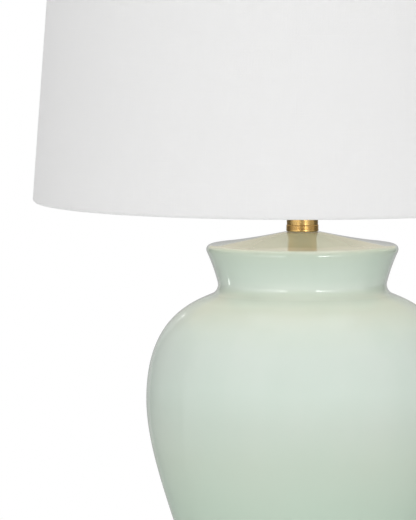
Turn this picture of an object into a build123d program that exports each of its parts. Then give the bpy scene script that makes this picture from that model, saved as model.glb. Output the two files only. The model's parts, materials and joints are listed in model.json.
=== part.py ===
from build123d import *
import os
from math import atan2, cos, degrees, hypot, radians, sin, sqrt, tan

# Ginger jar table lamp: a glazed one-piece jar with a closed conical top, an aged brass neck,
# a turn-key lamp socket with its bulb, a detachable harp, and a tapered drum shade held by a finial.
# Millimetres, +Z up, origin on the table under the jar's axis. The harp lies in the XZ plane,
# the switch key points to the front (-Y) and the cord outlet is at the back (+Y).

# ---- Clearances ----
THREAD_GAP = 0.05  # radial gap in a screwed joint
SLIP_GAP = 0.15  # radial gap of a piece slipped over or into another
TURN_GAP = 0.08  # radial gap of a piece that turns on its shaft
FACE_GAP = 0.15  # gap between the faces of pieces that move on each other
HEM_GAP = 0.7  # between a ring wire and the cloth rolled over it

# ---- Felt pad under the foot ----
FELT_THICKNESS = 1.5
FELT_INSET = 3.0  # from the foot's outer edge

# ---- Jar ----
JAR_WALL = 6.0
FOOT_RADIUS = 72.6
FOOT_STRAIGHT = 10.5  # height of the upright band above the foot's underside
FOOT_RING_WIDTH = 8.5
FOOT_ROUND = 2.0
RECESS_DEPTH = 18.0
FLOOR_THICKNESS = 7.0
BELLY_RADIUS = 118.1
BELLY_HEIGHT = 214.5  # from the foot's underside up to the widest part
FOOT_HANDLE = 67.0  # how long the side keeps the direction it leaves the foot in
LOWER_BELLY_HANDLE = 59.6
UPPER_BELLY_HANDLE = 68.1
SHOULDER_HANDLE = 15.0
SHOULDER_SLOPE = 28.6  # degrees below level, where the shoulder meets the neck
SHOULDER_RISE = 81.9  # from the widest part up to the neck's crease
NECK_RADIUS = 62.6  # before the crease is rounded
NECK_ROUND = 7.7
RIM_RISE = 34.3  # from the crease up to the rim
FLARE_HOLLOW = 1.2  # how far the flare's arc lies inside its chord
RIM_RADIUS = 74.6  # before the lip is rounded
LIP_ROUND = 4.0
SEAT_RISE = 9.9  # from the rim up to the seat of the brass neck
SEAT_RADIUS = 14.2
TOP_RIM_HANDLE = 28.0
TOP_RIM_SLOPE = 6.0  # degrees
TOP_SEAT_HANDLE = 11.8
TOP_SEAT_SLOPE = 11.0  # degrees

# ---- Lamp pipe and what it clamps under the jar's floor ----
PIPE_RADIUS = 5.1
PIPE_BORE_RADIUS = 3.6
PIPE_HOLE_GAP = 0.5
PIPE_TAIL = 2.0  # below the bottom nut
GASKET_RADIUS = 16.0
GASKET_THICKNESS = 1.5
WASHER_RADIUS = 19.0
WASHER_THICKNESS = 2.0
BOTTOM_NUT_FLATS = 17.0
BOTTOM_NUT_HEIGHT = 5.0

# ---- Cord outlet bushing, through the foot ring at the back ----
OUTLET_HEIGHT = 9.0  # above the underside of the foot
OUTLET_BORE_RADIUS = 3.6
BUSHING_RADIUS = 5.0
BUSHING_FLANGE_RADIUS = 7.0
BUSHING_FLANGE_THICKNESS = 1.6
BUSHING_BARB_RADIUS = 5.9
BUSHING_BARB_LENGTH = 2.4

# ---- Brass neck ----
NECK_GASKET_RADIUS = 11.3
NECK_GASKET_THICKNESS = 0.7
COLLAR_RADIUS = 12.2
COLLAR_HEIGHT = 4.8
COLLAR_GROOVES = 3
COLLAR_GROOVE_START = 1.8  # above the collar's underside
COLLAR_GROOVE_PITCH = 1.0
COLLAR_GROOVE_WIDTH = 0.5
COLLAR_GROOVE_DEPTH = 0.25
EDGE_BREAK = 0.4
SPIGOT_HEIGHT = 3.0
NECK_TUBE_RADIUS = 11.8
NECK_TUBE_WALL = 1.2
NECK_TUBE_LENGTH = 34.0
NECK_CAP_THICKNESS = 2.0
TOP_NUT_FLATS = 14.0
TOP_NUT_HEIGHT = 3.2

# ---- Harp saddle, harp and its locking sleeves ----
SADDLE_THICKNESS = 1.6
SADDLE_WIDTH = 12.0
SADDLE_FLAT = 12.0  # half length of its level middle
SADDLE_BEND = 3.0
SADDLE_RISE = 14.0
TAB_HEIGHT = 12.0
TAB_WIDTH = 3.6
HARP_SEAT = 28.7  # from the axis to the middle of the saddle's tab
HARP_HEIGHT = 230.8  # from the saddle's middle to the shoulder under the shade
HARP_WIRE_RADIUS = 1.6
LEG_BACK_THICKNESS = 1.4
LEG_CHEEK_THICKNESS = 0.8
LEG_CHEEK_INSET = 0.4  # from the tab's inner face
LEG_STRAIGHT = 32.0
HARP_HALF_WIDTH = 56.0
HARP_BELLY_HEIGHTS = (86.0, 140.0)  # above the foot of the harp
HARP_SHOULDER = (44.0, 190.0)
HARP_CROWN_HALF = 17.0
STUD_PAD_HALF = 9.0
STUD_PAD_WIDTH = 7.0
STUD_PAD_THICKNESS = 2.2
STUD_SHOULDER_RADIUS = 6.5
STUD_SHOULDER_THICKNESS = 2.4
STUD_RIVET_RADIUS = 2.0
STUD_HEAD_RADIUS = 3.4
STUD_HEAD_THICKNESS = 1.2
STUD_RADIUS = 3.1
STUD_LENGTH = 13.0
SLEEVE_WALL = 0.8
SLEEVE_LENGTH = 14.0
SLEEVE_TRAVEL = 14.0
HARP_TRAVEL = 30.0

# ---- Socket ----
CAP_HUB_RADIUS = 8.0
CAP_HUB_HEIGHT = 8.0
CAP_BOWL_RISE = 5.0
CAP_HEIGHT = 22.0
CAP_WALL = 0.7
SOCKET_SHELL_RADIUS = 16.4
SOCKET_SHELL_WALL = 0.6
SOCKET_SHELL_OVERLAP = 6.0
SOCKET_HEIGHT = 62.0
SHELL_BEAD = 0.5
PAPER_THICKNESS = 0.8
CORE_GAP = 0.4
CORE_HEIGHT = 17.5
SWITCH_HEIGHT = 28.8  # above the socket's underside
PIPE_IN_CAP = 7.0
SET_SCREW_RADIUS = 1.8
SET_SCREW_HEIGHT = 4.5
TERMINAL_HEIGHT = 20.0
TERMINAL_HEAD_RADIUS = 2.6
TERMINAL_HEAD_THICKNESS = 1.6
TERMINAL_SHANK_RADIUS = 1.5
TERMINAL_SHANK_LENGTH = 5.0
TERMINAL_INSET = 3.2
TERMINAL_POCKET = 3.6
THREAD_PITCH = 3.6
THREAD_RIDGES = 5
THREAD_DEPTH = 0.8
SCREW_SHELL_WALL = 0.4
SCREW_SHELL_LIP = 1.6
CONTACT_WIDTH = 5.0
CONTACT_LENGTH = 13.0
CONTACT_THICKNESS = 0.6
CONTACT_DOME_RADIUS = 2.6
CONTACT_DOME_HEIGHT = 1.4

# ---- Switch key ----
SHAFT_RADIUS = 2.4
SHAFT_DEPTH = 6.0  # inside the core
SHAFT_REACH = 31.0  # from the axis to its outer end
SHAFT_HOLE_GAP = 0.9
KEY_LENGTH = 15.0
KEY_START = 22.0  # from the axis
KEY_BARREL_RADIUS = 4.4
KEY_BARREL_LENGTH = 7.0
KEY_WIDTH = 16.0
KEY_THICKNESS = 4.2
KEY_ROUND = 1.5

# ---- Bulb ----
BULB_CAP_RADIUS = 12.2  # at the root of its thread
BULB_CAP_WALL = 0.5
BULB_CAP_HEIGHT = 22.0
BULB_TIP_RADIUS = 4.6
BULB_TIP_HEIGHT = 1.2
BULB_INSULATOR_HEIGHT = 3.4
BULB_THREAD_GAP = 0.35
BULB_RADIUS = 30.0
BULB_CENTRE_HEIGHT = 50.0  # above the cap's upper edge
BULB_NECK_RADIUS = 13.2
BULB_NECK_HEIGHT = 4.0
BULB_TAPER_ANGLE = 35.0  # degrees below the globe's equator
BULB_TAPER_HANDLE = 14.0
BULB_GLASS = 0.9

# ---- Shade ----
SHADE_BOTTOM_RADIUS = 203.2
SHADE_TOP_RADIUS = 184.15
SHADE_HEIGHT = 267.0
SHADE_FABRIC = 0.8
SHADE_LINER = 0.6
SHADE_HEM = 10.0
SHADE_WIRE_RADIUS = 1.25
SEAM_ANGLE = 2.8  # degrees of the shade's circle
SEAM_THICKNESS = 0.3
SEAM_END_GAP = 3.0
HUB_MARGIN = 2.5  # outside the finial's flange
HUB_THICKNESS = 1.8
SPIDER_ARM_RADIUS = 1.2
SPIDER_ARM_LAP = 1.8  # how far an arm is welded into the hub's edge
SPIDER_ARMS = 3
SPIDER_DROP = 9.5
SPIDER_STEP_RUN = 14.0  # level distance over which an arm climbs to the ring
SPIDER_STEP_INSET = 12.0  # from the ring to the top of that climb
SPIDER_BEND = 6.0

# ---- Finial ----
FINIAL_FLANGE_RADIUS = 8.0
FINIAL_FLANGE_HEIGHT = 2.2
FINIAL_WAIST_RADIUS = 4.8
FINIAL_BASE_HEIGHT = 15.0
FINIAL_ROOF = 2.6
FINIAL_STEM_RADIUS = 2.2
FINIAL_STEM_LENGTH = 4.0
FINIAL_BALL_RADIUS = 10.0
FINIAL_BALL_FLAT = 1.2  # how much of the ball is cut off where it sits

# ---- Heights that follow from the stack ----
FOOT_Z = FELT_THICKNESS
FLOOR_UNDER_Z = FOOT_Z + RECESS_DEPTH
FLOOR_TOP_Z = FLOOR_UNDER_Z + FLOOR_THICKNESS
BELLY_Z = FOOT_Z + BELLY_HEIGHT
CREASE_Z = BELLY_Z + SHOULDER_RISE
RIM_Z = CREASE_Z + RIM_RISE
SEAT_Z = RIM_Z + SEAT_RISE
COLLAR_Z = SEAT_Z + NECK_GASKET_THICKNESS
NECK_TUBE_Z = COLLAR_Z + COLLAR_HEIGHT
NECK_CAP_Z = NECK_TUBE_Z + NECK_TUBE_LENGTH
TOP_NUT_Z = NECK_CAP_Z + NECK_CAP_THICKNESS
SADDLE_Z = TOP_NUT_Z + TOP_NUT_HEIGHT
SOCKET_Z = SADDLE_Z + SADDLE_THICKNESS
TAB_Z = SOCKET_Z + SADDLE_RISE
HUB_Z = SOCKET_Z + HARP_HEIGHT
HUB_RADIUS = FINIAL_FLANGE_RADIUS + HUB_MARGIN
GASKET_Z = FLOOR_UNDER_Z - GASKET_THICKNESS
WASHER_Z = GASKET_Z - WASHER_THICKNESS
BOTTOM_NUT_Z = WASHER_Z - BOTTOM_NUT_HEIGHT
PIPE_BOTTOM_Z = BOTTOM_NUT_Z - PIPE_TAIL
PIPE_TOP_Z = SOCKET_Z + PIPE_IN_CAP
OUTLET_Z = FOOT_Z + OUTLET_HEIGHT
SWITCH_Z = SOCKET_Z + SWITCH_HEIGHT
SHELL_Z = SOCKET_Z + CAP_HEIGHT - SOCKET_SHELL_OVERLAP
SHELL_TOP_Z = SOCKET_Z + SOCKET_HEIGHT
CORE_Z = SHELL_Z + 1.5
CORE_TOP_Z = CORE_Z + CORE_HEIGHT
CONTACT_TOP_Z = CORE_TOP_Z + CONTACT_THICKNESS + CONTACT_DOME_HEIGHT
BULB_TIP_Z = CONTACT_TOP_Z + FACE_GAP
BULB_CAP_Z = BULB_TIP_Z + BULB_TIP_HEIGHT + BULB_INSULATOR_HEIGHT
BULB_CAP_TOP_Z = BULB_CAP_Z + BULB_CAP_HEIGHT
THREAD_Z = BULB_CAP_Z + 1.2
BULB_CENTRE_Z = BULB_CAP_TOP_Z + BULB_CENTRE_HEIGHT
BULB_TOP_Z = BULB_CENTRE_Z + BULB_RADIUS
SPIDER_ARM_Z = HUB_Z + HUB_THICKNESS / 2
HEM_RADIUS = SHADE_WIRE_RADIUS + HEM_GAP  # inside of the cloth where it is rolled over a ring wire
SHADE_EDGE = HEM_RADIUS + SHADE_FABRIC  # from the ring wire's centre to the shade's surface
TOP_RING_Z = SPIDER_ARM_Z + SPIDER_DROP
BOTTOM_RING_Z = TOP_RING_Z - SHADE_HEIGHT + 2 * SHADE_EDGE
TOP_RING_RADIUS = SHADE_TOP_RADIUS - SHADE_EDGE
BOTTOM_RING_RADIUS = SHADE_BOTTOM_RADIUS - SHADE_EDGE
SHADE_BOTTOM_Z = BOTTOM_RING_Z - SHADE_EDGE
SHADE_TOP_Z = TOP_RING_Z + SHADE_EDGE
FINIAL_Z = HUB_Z + HUB_THICKNESS + FACE_GAP
FINIAL_BALL_Z = FINIAL_Z + FINIAL_BASE_HEIGHT + FINIAL_BALL_RADIUS - FINIAL_BALL_FLAT
FINIAL_TOP_Z = FINIAL_BALL_Z + FINIAL_BALL_RADIUS
JAR_HOLE_RADIUS = PIPE_RADIUS + PIPE_HOLE_GAP
PAPER_OUTER_RADIUS = SOCKET_SHELL_RADIUS - SOCKET_SHELL_WALL - SLIP_GAP
CORE_RADIUS = PAPER_OUTER_RADIUS - PAPER_THICKNESS - CORE_GAP
TAB_INNER_X = HARP_SEAT - SADDLE_THICKNESS / 2
LEG_X = HARP_SEAT + SADDLE_THICKNESS / 2 + FACE_GAP + LEG_BACK_THICKNESS / 2
LEG_OUTER_X = LEG_X + LEG_BACK_THICKNESS / 2
LEG_HALF_WIDTH = TAB_WIDTH / 2 + FACE_GAP + LEG_CHEEK_THICKNESS
SLEEVE_X = (TAB_INNER_X + LEG_OUTER_X) / 2
SLEEVE_BORE_RADIUS = hypot(LEG_OUTER_X - SLEEVE_X, LEG_HALF_WIDTH) + SLIP_GAP
SLEEVE_RADIUS = SLEEVE_BORE_RADIUS + SLEEVE_WALL


# ---- Helpers ----
def outline_face(corners):
    """A face in the radius-height plane. A corner is (radius, height) or (radius, height, rounding)."""
    rounding = [corner[2] if len(corner) > 2 else 0 for corner in corners]
    points = [(corner[0], corner[1]) for corner in corners]
    if any(rounding):
        return make_face(FilletPolyline(*points, radius=rounding, close=True).edges())
    return make_face(Polyline(*points, close=True).edges())


def turned(face):
    """The solid that a face in the radius-height plane makes, turned about the lamp's axis."""
    return revolve(Plane.XZ * face, Axis.Z)


def ring(outer_radius, inner_radius, low, high, edge_break=0.0):
    """A turned ring, with its outer edges broken."""
    return turned(
        outline_face(
            [
                (inner_radius, low),
                (outer_radius - edge_break, low),
                (outer_radius, low + edge_break),
                (outer_radius, high - edge_break),
                (outer_radius - edge_break, high),
                (inner_radius, high),
            ]
            if edge_break
            else [(inner_radius, low), (outer_radius, low), (outer_radius, high), (inner_radius, high)]
        )
    )


def hex_nut(across_flats, height, bore_radius, low):
    """A hexagon nut that stands at a height on the lamp's axis."""
    body = extrude(RegularPolygon(across_flats / 2, 6, major_radius=False), height)
    return Pos(0, 0, low) * (body - Pos(0, 0, height / 2) * Cylinder(bore_radius, height))


def rod_along_y(radius, start, end, height):
    """A round rod along Y, at a height on the lamp's axis."""
    return Pos(0, (start + end) / 2, height) * Rot(90, 0, 0) * Cylinder(radius, abs(end - start))


def rod_along_x(radius, start, end, height):
    """A round rod along X, at a height on the lamp's axis."""
    return Pos((start + end) / 2, 0, height) * Rot(0, 90, 0) * Cylinder(radius, abs(end - start))


def seat_depth(radius, half_width):
    """How far out a flat face of a half width can sit inside a round wall."""
    return sqrt(radius**2 - half_width**2)


def inset_points(edge, depth, start, end, count):
    """Points along an edge, moved to its left by a depth, from one share of its length to another."""
    points = []
    for step in range(count):
        share = start + (end - start) * step / (count - 1)
        spot, along = edge @ share, edge % share
        points.append((spot.X - along.Y * depth, spot.Y + along.X * depth))
    return points


def corner_radii(points, share=0.45):
    """For each inner corner of a route, the largest easy bend that its two runs allow."""
    radii = []
    for before, here, after in zip(points, points[1:], points[2:]):
        run_in, run_out = Vector(*here) - Vector(*before), Vector(*after) - Vector(*here)
        turn = radians(run_in.get_angle(run_out))
        radii.append(share * min(run_in.length, run_out.length) / tan(turn / 2))
    return radii


def wire_along(points, radius, radii=None):
    """A round wire bent along a route of straight runs and tangent arcs."""
    route = FilletPolyline(*points, radius=radii or corner_radii(points))
    return sweep(Plane(route @ 0, z_dir=route % 0) * Circle(radius), path=route.wire())


# ---- Base ----
def felt_pad():
    return Pos(0, 0, FELT_THICKNESS / 2) * Cylinder(FOOT_RADIUS - FELT_INSET, FELT_THICKNESS)


def jar_curves():
    """The jar's outer outline, from the foot to the neck seat, as four curves."""
    foot_top = FOOT_Z + FOOT_STRAIGHT
    slope = radians(SHOULDER_SLOPE)
    side = Bezier(
        (FOOT_RADIUS, foot_top),
        (FOOT_RADIUS, foot_top + FOOT_HANDLE),
        (BELLY_RADIUS, BELLY_Z - LOWER_BELLY_HANDLE),
        (BELLY_RADIUS, BELLY_Z),
    )
    shoulder = Bezier(
        (BELLY_RADIUS, BELLY_Z),
        (BELLY_RADIUS, BELLY_Z + UPPER_BELLY_HANDLE),
        (NECK_RADIUS + SHOULDER_HANDLE * cos(slope), CREASE_Z - SHOULDER_HANDLE * sin(slope)),
        (NECK_RADIUS, CREASE_Z),
    )
    flare = SagittaArc((NECK_RADIUS, CREASE_Z), (RIM_RADIUS, RIM_Z), FLARE_HOLLOW)
    rim_slope, seat_slope = radians(TOP_RIM_SLOPE), radians(TOP_SEAT_SLOPE)
    top = Bezier(
        (RIM_RADIUS, RIM_Z),
        (RIM_RADIUS - TOP_RIM_HANDLE * cos(rim_slope), RIM_Z + TOP_RIM_HANDLE * sin(rim_slope)),
        (SEAT_RADIUS + TOP_SEAT_HANDLE * cos(seat_slope), SEAT_Z - TOP_SEAT_HANDLE * sin(seat_slope)),
        (SEAT_RADIUS, SEAT_Z),
    )
    return side, shoulder, flare, top


def jar_body():
    """The slip-cast jar: an even wall under the glaze, a floor, a foot ring and a closed top."""
    side, shoulder, flare, top = jar_curves()
    recess_radius = FOOT_RADIUS - FOOT_RING_WIDTH
    solid = turned(
        make_face(
            [
                *Polyline(
                    (SEAT_RADIUS, SEAT_Z),
                    (JAR_HOLE_RADIUS, SEAT_Z),
                    (JAR_HOLE_RADIUS, FLOOR_UNDER_Z),
                    (recess_radius, FLOOR_UNDER_Z),
                    (recess_radius, FOOT_Z),
                    (FOOT_RADIUS, FOOT_Z),
                    (FOOT_RADIUS, FOOT_Z + FOOT_STRAIGHT),
                ).edges(),
                *side.edges(),
                *shoulder.edges(),
                *flare.edges(),
                *top.edges(),
            ]
        )
    )
    rounds = (
        (NECK_ROUND, NECK_RADIUS, CREASE_Z),
        (LIP_ROUND, RIM_RADIUS, RIM_Z),
        (FOOT_ROUND, FOOT_RADIUS, FOOT_Z),
    )
    for rounding, radius, height in rounds:
        corner = [
            edge
            for edge in solid.edges().filter_by(GeomType.CIRCLE)
            if abs(edge.radius - radius) < 0.01 and abs(edge.center().Z - height) < 0.01
        ]
        solid = fillet(corner, rounding)
    inner = [
        inset_points(side, JAR_WALL, 0.1, 1.0, 6),
        inset_points(shoulder, JAR_WALL, 0.0, 1.0, 6),
        inset_points(flare, JAR_WALL, 0.1, 0.7, 4),
        inset_points(top, JAR_WALL, 0.2, 1.0, 4),
    ]
    curves = [Spline(*points) for points in inner]
    links = [Line(a @ 1, b @ 0) for a, b in zip(curves[1:], curves[2:])]
    ceiling_radius, ceiling_z = inner[3][-1]
    cavity = turned(
        make_face(
            [
                *Polyline(
                    (ceiling_radius, ceiling_z),
                    (0, ceiling_z),
                    (0, FLOOR_TOP_Z),
                    (inner[0][0][0], FLOOR_TOP_Z),
                    inner[0][0],
                ).edges(),
                *[edge for curve in curves for edge in curve.edges()],
                *[edge for link in links for edge in link.edges()],
            ]
        )
    )
    outlet = rod_along_y(BUSHING_RADIUS + SLIP_GAP, recess_radius - 2, FOOT_RADIUS + 2, OUTLET_Z)
    return solid - cavity - outlet


def bushing_faces():
    """Along Y: the barb's end and its face inside the foot ring, the flange's face and its end outside."""
    inner_face = seat_depth(FOOT_RADIUS - FOOT_RING_WIDTH, BUSHING_BARB_RADIUS) - THREAD_GAP
    outer_face = FOOT_RADIUS + FACE_GAP
    return inner_face - BUSHING_BARB_LENGTH, inner_face, outer_face, outer_face + BUSHING_FLANGE_THICKNESS


def cord_bushing():
    """The moulded bushing that the cord leaves through, snapped into the foot ring from outside."""
    barb_end, inner_face, outer_face, flange_end = bushing_faces()
    body = rod_along_y(BUSHING_RADIUS, barb_end, flange_end, OUTLET_Z)
    body += rod_along_y(BUSHING_BARB_RADIUS, barb_end, inner_face, OUTLET_Z)
    body += rod_along_y(BUSHING_FLANGE_RADIUS, outer_face, flange_end, OUTLET_Z)
    rim = body.edges().filter_by(GeomType.CIRCLE).sort_by(Axis.Y)[-1]
    body = fillet(rim, BUSHING_FLANGE_THICKNESS * 0.6)
    return body - rod_along_y(OUTLET_BORE_RADIUS, barb_end - 1, flange_end + 1, OUTLET_Z)


def bottom_gasket():
    return ring(GASKET_RADIUS, PIPE_RADIUS + SLIP_GAP, GASKET_Z, GASKET_Z + GASKET_THICKNESS)


def bottom_washer():
    return ring(WASHER_RADIUS, PIPE_RADIUS + SLIP_GAP, WASHER_Z, WASHER_Z + WASHER_THICKNESS, EDGE_BREAK)


def bottom_nut():
    return hex_nut(BOTTOM_NUT_FLATS, BOTTOM_NUT_HEIGHT, PIPE_RADIUS + THREAD_GAP, BOTTOM_NUT_Z)


def lamp_pipe():
    return ring(PIPE_RADIUS, PIPE_BORE_RADIUS, PIPE_BOTTOM_Z, PIPE_TOP_Z, EDGE_BREAK)


# ---- Brass neck ----
def neck_gasket():
    return ring(NECK_GASKET_RADIUS, PIPE_RADIUS + SLIP_GAP, SEAT_Z, COLLAR_Z)


def spigot_radius():
    return NECK_TUBE_RADIUS - NECK_TUBE_WALL - SLIP_GAP


def groove_line():
    """The outline of the fine grooves turned in the collar, going up."""
    points = []
    for groove in range(COLLAR_GROOVES):
        middle = COLLAR_Z + COLLAR_GROOVE_START + groove * COLLAR_GROOVE_PITCH
        points += [
            (COLLAR_RADIUS, middle - COLLAR_GROOVE_WIDTH / 2),
            (COLLAR_RADIUS - COLLAR_GROOVE_DEPTH, middle),
            (COLLAR_RADIUS, middle + COLLAR_GROOVE_WIDTH / 2),
        ]
    return points


def neck_collar():
    """The turned ring at the foot of the neck, with fine grooves and a spigot inside the tube."""
    bore = PIPE_RADIUS + SLIP_GAP
    return turned(
        outline_face(
            [
                (bore, COLLAR_Z),
                (COLLAR_RADIUS - EDGE_BREAK, COLLAR_Z),
                (COLLAR_RADIUS, COLLAR_Z + EDGE_BREAK),
                *groove_line(),
                (COLLAR_RADIUS, NECK_TUBE_Z - EDGE_BREAK),
                (COLLAR_RADIUS - EDGE_BREAK, NECK_TUBE_Z),
                (spigot_radius(), NECK_TUBE_Z),
                (spigot_radius(), NECK_TUBE_Z + SPIGOT_HEIGHT),
                (bore, NECK_TUBE_Z + SPIGOT_HEIGHT),
            ]
        )
    )


def neck_tube():
    return ring(NECK_TUBE_RADIUS, NECK_TUBE_RADIUS - NECK_TUBE_WALL, NECK_TUBE_Z, NECK_CAP_Z)


def neck_cap():
    """The disc that closes the neck, with a spigot inside the tube."""
    bore = PIPE_RADIUS + SLIP_GAP
    return turned(
        outline_face(
            [
                (bore, NECK_CAP_Z - SPIGOT_HEIGHT),
                (spigot_radius(), NECK_CAP_Z - SPIGOT_HEIGHT),
                (spigot_radius(), NECK_CAP_Z),
                (NECK_TUBE_RADIUS, NECK_CAP_Z),
                (NECK_TUBE_RADIUS, TOP_NUT_Z - EDGE_BREAK),
                (NECK_TUBE_RADIUS - EDGE_BREAK, TOP_NUT_Z),
                (bore, TOP_NUT_Z),
            ]
        )
    )


def top_nut():
    return hex_nut(TOP_NUT_FLATS, TOP_NUT_HEIGHT, PIPE_RADIUS + THREAD_GAP, TOP_NUT_Z)


# ---- Harp ----
def harp_saddle():
    """A bent steel strip under the socket, with an upright tab at each end for the harp's legs."""
    middle_z = SADDLE_Z + SADDLE_THICKNESS / 2
    route = [
        (HARP_SEAT, TAB_Z + TAB_HEIGHT),
        (HARP_SEAT, TAB_Z - SADDLE_RISE * 0.35),
        (SADDLE_FLAT, middle_z),
    ]
    route += [(-x, z) for x, z in reversed(route)]
    line = FilletPolyline(*route, radius=SADDLE_BEND)
    strip = extrude(Plane.XZ * trace(line, SADDLE_THICKNESS), SADDLE_WIDTH / 2, both=True)
    trim_width = SADDLE_WIDTH - TAB_WIDTH
    for x in (-HARP_SEAT, HARP_SEAT):
        for y in (-1, 1):
            corner = Box(4 * SADDLE_THICKNESS, trim_width, 2 * TAB_HEIGHT)
            strip -= Pos(x, y * (TAB_WIDTH + trim_width) / 2, TAB_Z + TAB_HEIGHT) * corner
    return strip - Pos(0, 0, middle_z) * Cylinder(PIPE_RADIUS + SLIP_GAP, 2 * SADDLE_THICKNESS)


def harp_route():
    """One half of the harp's bow, from the top of its leg's flat end up to the crown."""
    leg_top = TAB_Z + TAB_HEIGHT + FACE_GAP
    crown_z = HUB_Z - STUD_SHOULDER_THICKNESS - STUD_PAD_THICKNESS / 2
    low, high = HARP_BELLY_HEIGHTS
    return [
        (LEG_X, 0, leg_top),
        (LEG_X, 0, TAB_Z + LEG_STRAIGHT),
        (HARP_HALF_WIDTH - HARP_WIRE_RADIUS, 0, TAB_Z + low),
        (HARP_HALF_WIDTH - HARP_WIRE_RADIUS - 2.0, 0, TAB_Z + high),
        (HARP_SHOULDER[0], 0, TAB_Z + HARP_SHOULDER[1]),
        (HARP_CROWN_HALF, 0, crown_z),
    ]


def leg_channel(side):
    """The channel at a leg's end: it straddles the saddle's tab and stands on the saddle's shoulders."""
    low, high = TAB_Z + FACE_GAP, TAB_Z + TAB_HEIGHT + 2 * FACE_GAP
    height, middle_z = high - low, (low + high) / 2
    back = Box(LEG_BACK_THICKNESS, 2 * LEG_HALF_WIDTH, height)
    cheek_start = TAB_INNER_X + LEG_CHEEK_INSET
    cheek = Box(LEG_OUTER_X - cheek_start, LEG_CHEEK_THICKNESS, height)
    cheek_y = LEG_HALF_WIDTH - LEG_CHEEK_THICKNESS / 2
    channel = Pos(side * LEG_X, 0, middle_z) * back
    for y in (-cheek_y, cheek_y):
        channel += Pos(side * (LEG_OUTER_X + cheek_start) / 2, y, middle_z) * cheek
    return channel


def harp_bow():
    """The harp's one wire, formed into a channel at the foot of each leg and flat under the stud."""
    half = harp_route()
    route = half + [(-x, y, z) for x, y, z in reversed(half)]
    bow = wire_along(route, HARP_WIRE_RADIUS)
    crown_z = half[-1][2]
    pad_length = 2 * STUD_PAD_HALF
    bow -= Pos(0, 0, crown_z) * Box(pad_length - 1, 20, 20)
    pad = Box(pad_length, STUD_PAD_WIDTH, STUD_PAD_THICKNESS)
    pad = fillet(pad.edges().filter_by(Axis.Z), STUD_PAD_WIDTH * 0.35)
    bow += Pos(0, 0, crown_z) * pad
    bow -= Pos(0, 0, crown_z) * Cylinder(STUD_RIVET_RADIUS + THREAD_GAP, 10)
    return bow + leg_channel(-1) + leg_channel(1)


def harp_stud():
    """The threaded post riveted to the crown, with the shoulder that carries the shade."""
    shoulder_z = HUB_Z - STUD_SHOULDER_THICKNESS
    pad_under_z = shoulder_z - STUD_PAD_THICKNESS
    return turned(
        outline_face(
            [
                (0, pad_under_z - STUD_HEAD_THICKNESS),
                (STUD_HEAD_RADIUS, pad_under_z - STUD_HEAD_THICKNESS, 0.5),
                (STUD_HEAD_RADIUS, pad_under_z),
                (STUD_RIVET_RADIUS, pad_under_z),
                (STUD_RIVET_RADIUS, shoulder_z),
                (STUD_SHOULDER_RADIUS, shoulder_z),
                (STUD_SHOULDER_RADIUS, HUB_Z),
                (STUD_RADIUS, HUB_Z),
                (STUD_RADIUS, HUB_Z + STUD_LENGTH - EDGE_BREAK),
                (STUD_RADIUS - EDGE_BREAK, HUB_Z + STUD_LENGTH),
                (0, HUB_Z + STUD_LENGTH),
            ]
        )
    )


def harp_sleeve(side):
    """The sleeve that locks a leg of the harp to its tab. It slides up the leg to free it."""
    low = TAB_Z + FACE_GAP
    return Pos(side * SLEEVE_X, 0, 0) * ring(
        SLEEVE_RADIUS, SLEEVE_BORE_RADIUS, low, low + SLEEVE_LENGTH, EDGE_BREAK
    )


# ---- Socket ----
def socket_cap():
    """The spun cup that screws on the lamp pipe and holds the socket's shell."""
    inner = SOCKET_SHELL_RADIUS + SLIP_GAP
    outer = inner + CAP_WALL
    bore = PIPE_RADIUS + THREAD_GAP
    hub_top = SOCKET_Z + CAP_HUB_HEIGHT
    bowl_z = hub_top + CAP_BOWL_RISE
    cup = turned(
        outline_face(
            [
                (bore, SOCKET_Z),
                (CAP_HUB_RADIUS, SOCKET_Z),
                (CAP_HUB_RADIUS, hub_top, 1.5),
                (outer, bowl_z, 3.0),
                (outer, SOCKET_Z + CAP_HEIGHT),
                (inner, SOCKET_Z + CAP_HEIGHT),
                (inner, bowl_z + CAP_WALL, 2.4),
                (CAP_HUB_RADIUS - CAP_WALL, hub_top + 1.6 * CAP_WALL),
                (bore, hub_top + 1.6 * CAP_WALL),
            ]
        )
    )
    screw_z = SOCKET_Z + SET_SCREW_HEIGHT
    return cup - rod_along_y(SET_SCREW_RADIUS + THREAD_GAP, bore, CAP_HUB_RADIUS + 2, screw_z)


def cap_set_screw():
    """The small screw that keeps the cap from turning on the pipe."""
    screw_z = SOCKET_Z + SET_SCREW_HEIGHT
    screw = rod_along_y(SET_SCREW_RADIUS, PIPE_RADIUS + THREAD_GAP, CAP_HUB_RADIUS + 1.2, screw_z)
    slot = Pos(0, CAP_HUB_RADIUS + 1.2, screw_z) * Box(2 * SET_SCREW_RADIUS, 1.2, 0.7)
    return screw - slot


def socket_shell():
    """The brass shell, with a rolled bead near each end and a hole for the switch shaft."""
    outer, inner = SOCKET_SHELL_RADIUS, SOCKET_SHELL_RADIUS - SOCKET_SHELL_WALL
    cap_top = SOCKET_Z + CAP_HEIGHT
    corners = [(inner, SHELL_Z), (outer, SHELL_Z)]
    for bead_z in (cap_top + 1.5, SHELL_TOP_Z - 4.0):
        corners += [
            (outer, bead_z - 1.0),
            (outer + SHELL_BEAD, bead_z - 0.5),
            (outer + SHELL_BEAD, bead_z + 0.5),
            (outer, bead_z + 1.0),
        ]
    corners += [(outer, SHELL_TOP_Z), (inner, SHELL_TOP_Z)]
    hole = rod_along_y(SHAFT_RADIUS + SHAFT_HOLE_GAP, -outer - 2, -inner + 4, SWITCH_Z)
    return turned(outline_face(corners)) - hole


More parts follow.
